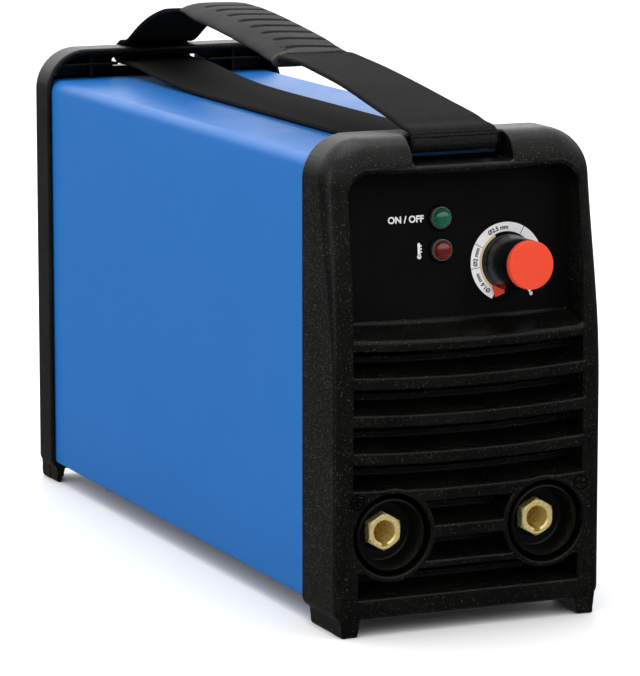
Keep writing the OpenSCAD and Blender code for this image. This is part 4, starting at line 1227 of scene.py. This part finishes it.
def build_switch():
    def housing_field(x, d, z):
        u, v = x + CONTROLS_X, z - CONTROLS_Z
        au, av = np.abs(u), np.abs(v)
        rim = outline(u, v, SWITCH_HALF_W, -SWITCH_HALF_H, SWITCH_HALF_H, 2, 2)
        rim = common(blend_max(rim, d - CASE_D - 2.2, 1.6), CASE_D - d)
        barrel = common(au - 11, av - 14, slab(d, CASE_D - 22, CASE_D + 0.5))
        well = common(au - 9, av - 12.5, CASE_D - 9 - d)
        pin = common(np.hypot(d - CASE_D + 1.5, v) - 1.6, au - 10.2)
        return blend_max(either(rim, barrel), -either(well, pin), 0.5)

    carve("switch_body", housing_field, (-41, CASE_D - 24, 140), (-13, CASE_D + 4, 176), 0.4, 30000,
          "component_black", ["switch_housing"])
    tabs = [bar(-CONTROLS_X - 3.2, -CONTROLS_X + 3.2, CONTROLS_Z + k - 0.4, CONTROLS_Z + k + 0.4,
                CASE_D - 30, CASE_D - 21.8) for k in (-8, 0, 8)]
    add_piece("switch_tabs", *join_parts(tabs), "zinc_steel", flat=True)

    lean = math.radians(-10)

    def rock(points):
        """Turned into the off position, about the rocker's pin."""
        c, s = math.cos(lean), math.sin(lean)
        return [(x - CONTROLS_X, CASE_D - 1.5 + d * c - z * s, CONTROLS_Z + z * c + d * s)
                for x, d, z in points]

    def rocker_face(z):
        """Depth of the hollowed face at a height."""
        return 2.6 + 2.6 * (z / 11.2) ** 2

    curve = [(rocker_face(z), z) for z in np.linspace(-11.2, 11.2, 15)]
    back = [(3.4, 11.8), (-1.2, 9), (-3.5, 0), (-1.2, -9), (3.4, -11.8)]
    points, faces = plate([[(d, z) for d, z in curve + back]], -8.6, 8.6, 0.5)
    rocker = [(p[1], p[0], p[2]) for p in points]
    pin = lathe([(0.02, -10), (1.5, -10), (1.5, 10), (0.02, 10)], (0, 0), 32)
    pin_points = [(p[1], p[0], p[2]) for p in pin[0]]
    parts = [(rock(rocker), faces), (rock(pin_points), capped(pin[1], 4, 32))]
    piece = add_piece("power_rocker", *join_parts(parts), "rocker_red", ["switch_rocker"], "power_rocker")
    tidy_mesh(piece.data, 30)

    # Generic marks for on and off, moulded into the rocker
    stroke = [(x, rocker_face(z) + 0.04, z) for z in np.linspace(4.4, 8.6, 8) for x in (-0.4, 0.4)]
    ring = []
    for i in range(33):
        a = 2 * math.pi * i / 32
        for r in (1.5, 2.3):
            z = -6.5 + r * math.cos(a)
            ring.append((r * math.sin(a), rocker_face(z) + 0.04, z))
    marks = join_parts([(rock(stroke), strip(7)), (rock(ring), strip(32))])
    piece = add_piece("rocker_marks", *marks, "scale_white", body="power_rocker", looks=[PRINT_WHITE],
                      flat=True)
    face_towards(piece.data, 1)


def build_gland():
    x, z = CONTROLS_X, CONTROLS_Z

    def base_field(px, d, pz):
        u, v = px - x, pz - z
        r = np.hypot(u, v)
        head = blend_max(hexagon(u, v, 24), slab(d, CASE_D, CASE_D + 6), 0.8)
        head = blend_max(head, (r - 12.6 + (d - CASE_D - 5.2)) * 0.6, 0.4)
        thread = 10.0 + 0.25 * np.cos(d * 2 * math.pi / 1.5)
        tail = common(r - thread, slab(d, CASE_D - 14, CASE_D + 1))
        neck = common(r - 9.8, slab(d, CASE_D + 5, CASE_D + 14))
        return common(either(head, tail, neck), 6.2 - r)

    def dome_field(px, d, pz):
        u, v = px - x, pz - z
        r = np.hypot(u, v)
        body = blend_max(hexagon(u, v, 24), slab(d, CASE_D + 7, CASE_D + 17.5), 1.0)
        dome = common(r - 11.5 + 3.5 * ((d - CASE_D - 17) / 7) ** 2, slab(d, CASE_D + 15, CASE_D + 24))
        body = blend_max(blend_min(body, dome * 0.8, 0.6), CASE_D + 7 - d, 0.4)
        ways = either(common(r - 9.85, d - CASE_D - 14.1), r - 6.2)
        return blend_max(body, -ways, 0.5)

    carve("gland_base", base_field, (x - 15, CASE_D - 15, z - 15), (x + 15, CASE_D + 15.5, z + 15), 0.4,
          40000, "component_black", ["gland_body"])
    carve("gland_cap", dome_field, (x - 15, CASE_D + 5.5, z - 15), (x + 15, CASE_D + 25.5, z + 15), 0.4,
          40000, "component_black", ["gland_dome_nut"])


# ---------- what stays from the CAD model ----------

def paint_cad_nodes():
    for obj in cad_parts.values():
        for part in obj.material_slots:
            part.material = PAINT[part.material.name.split(".")[0]]
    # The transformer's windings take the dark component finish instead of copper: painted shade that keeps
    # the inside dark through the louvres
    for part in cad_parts["transformer_windings"].material_slots:
        part.material = PAINT["component_black"]


# ---------- stage ----------

def build_stage():
    floor = bpy.data.meshes.new("floor")
    half = 14.0
    floor.from_pydata([(-half, -half, 0), (half, -half, 0), (half, half, 0), (-half, half, 0)], [],
                      [(0, 1, 2, 3)])
    floor.materials.append(nodes_of("floor_look", (0.86, 0.86, 0.86), 0.6, specular=0.2)[0])
    obj = linked("floor", floor)
    obj.visible_glossy = False

    world = bpy.data.worlds.new("studio")
    world.use_nodes = True
    # A dome that is bright overhead and dim towards the horizon
    tree = world.node_tree
    source = node(tree, "ShaderNodeTexCoord")
    split = node(tree, "ShaderNodeSeparateXYZ")
    tree.links.new(source.outputs["Generated"], split.inputs["Vector"])
    dome = ramp(tree, split.outputs["Z"], [(0.1, 0.1), (0.45, 1.0)])
    tree.links.new(dome, tree.nodes["Background"].inputs["Color"])
    tree.nodes["Background"].inputs["Strength"].default_value = 1.4
    bpy.context.scene.world = world
    bpy.context.scene.view_settings.view_transform = "Standard"

    # Each light: place, the point that it looks at, width, height and power
    lights = {
        "top_box": ((-0.2, 0.3, 2.4), (0, 0, 0), 2.0, 2.0, 32),
        "left_box": ((-2.2, 0.1, 0.55), (0, 0, 0.1), 0.5, 1.2, 6),
        "back_box": ((0.6, 3.6, 1.0), (0, 0, 0.15), 3.6, 1.8, 25),
    }
    for name, (spot, target, width, height, power) in lights.items():
        light = bpy.data.lights.new(name, "AREA")
        light.shape = "RECTANGLE"
        light.size, light.size_y = width, height
        light.energy = power
        aim(linked(name, light), spot, [t - s for t, s in zip(target, spot)])


def aim(obj, spot, direction):
    obj.location = spot
    obj.rotation_euler = Vector(direction).to_track_quat("-Z", "Y").to_euler()


def build_camera():
    camera = bpy.data.cameras.new("camera")
    camera.sensor_width = 36.0
    camera.lens = 216.4
    camera.clip_start, camera.clip_end = 0.05, 60.0
    obj = linked("camera", camera)
    yaw, pitch = math.radians(23.72), math.radians(9.95)
    aim(obj, place([(-704.2, -1451.5, 402.2)])[0],
        (math.sin(yaw) * math.cos(pitch), math.cos(yaw) * math.cos(pitch), -math.sin(pitch)))
    bpy.context.scene.camera = obj


build_camera()
build_stage()
paint_cad_nodes()
build_case()
build_handle()
build_film()
build_prints()
build_lamps()
build_knob()
build_sockets()
build_fan()
build_switch()
build_gland()

bpy.context.view_layer.update()
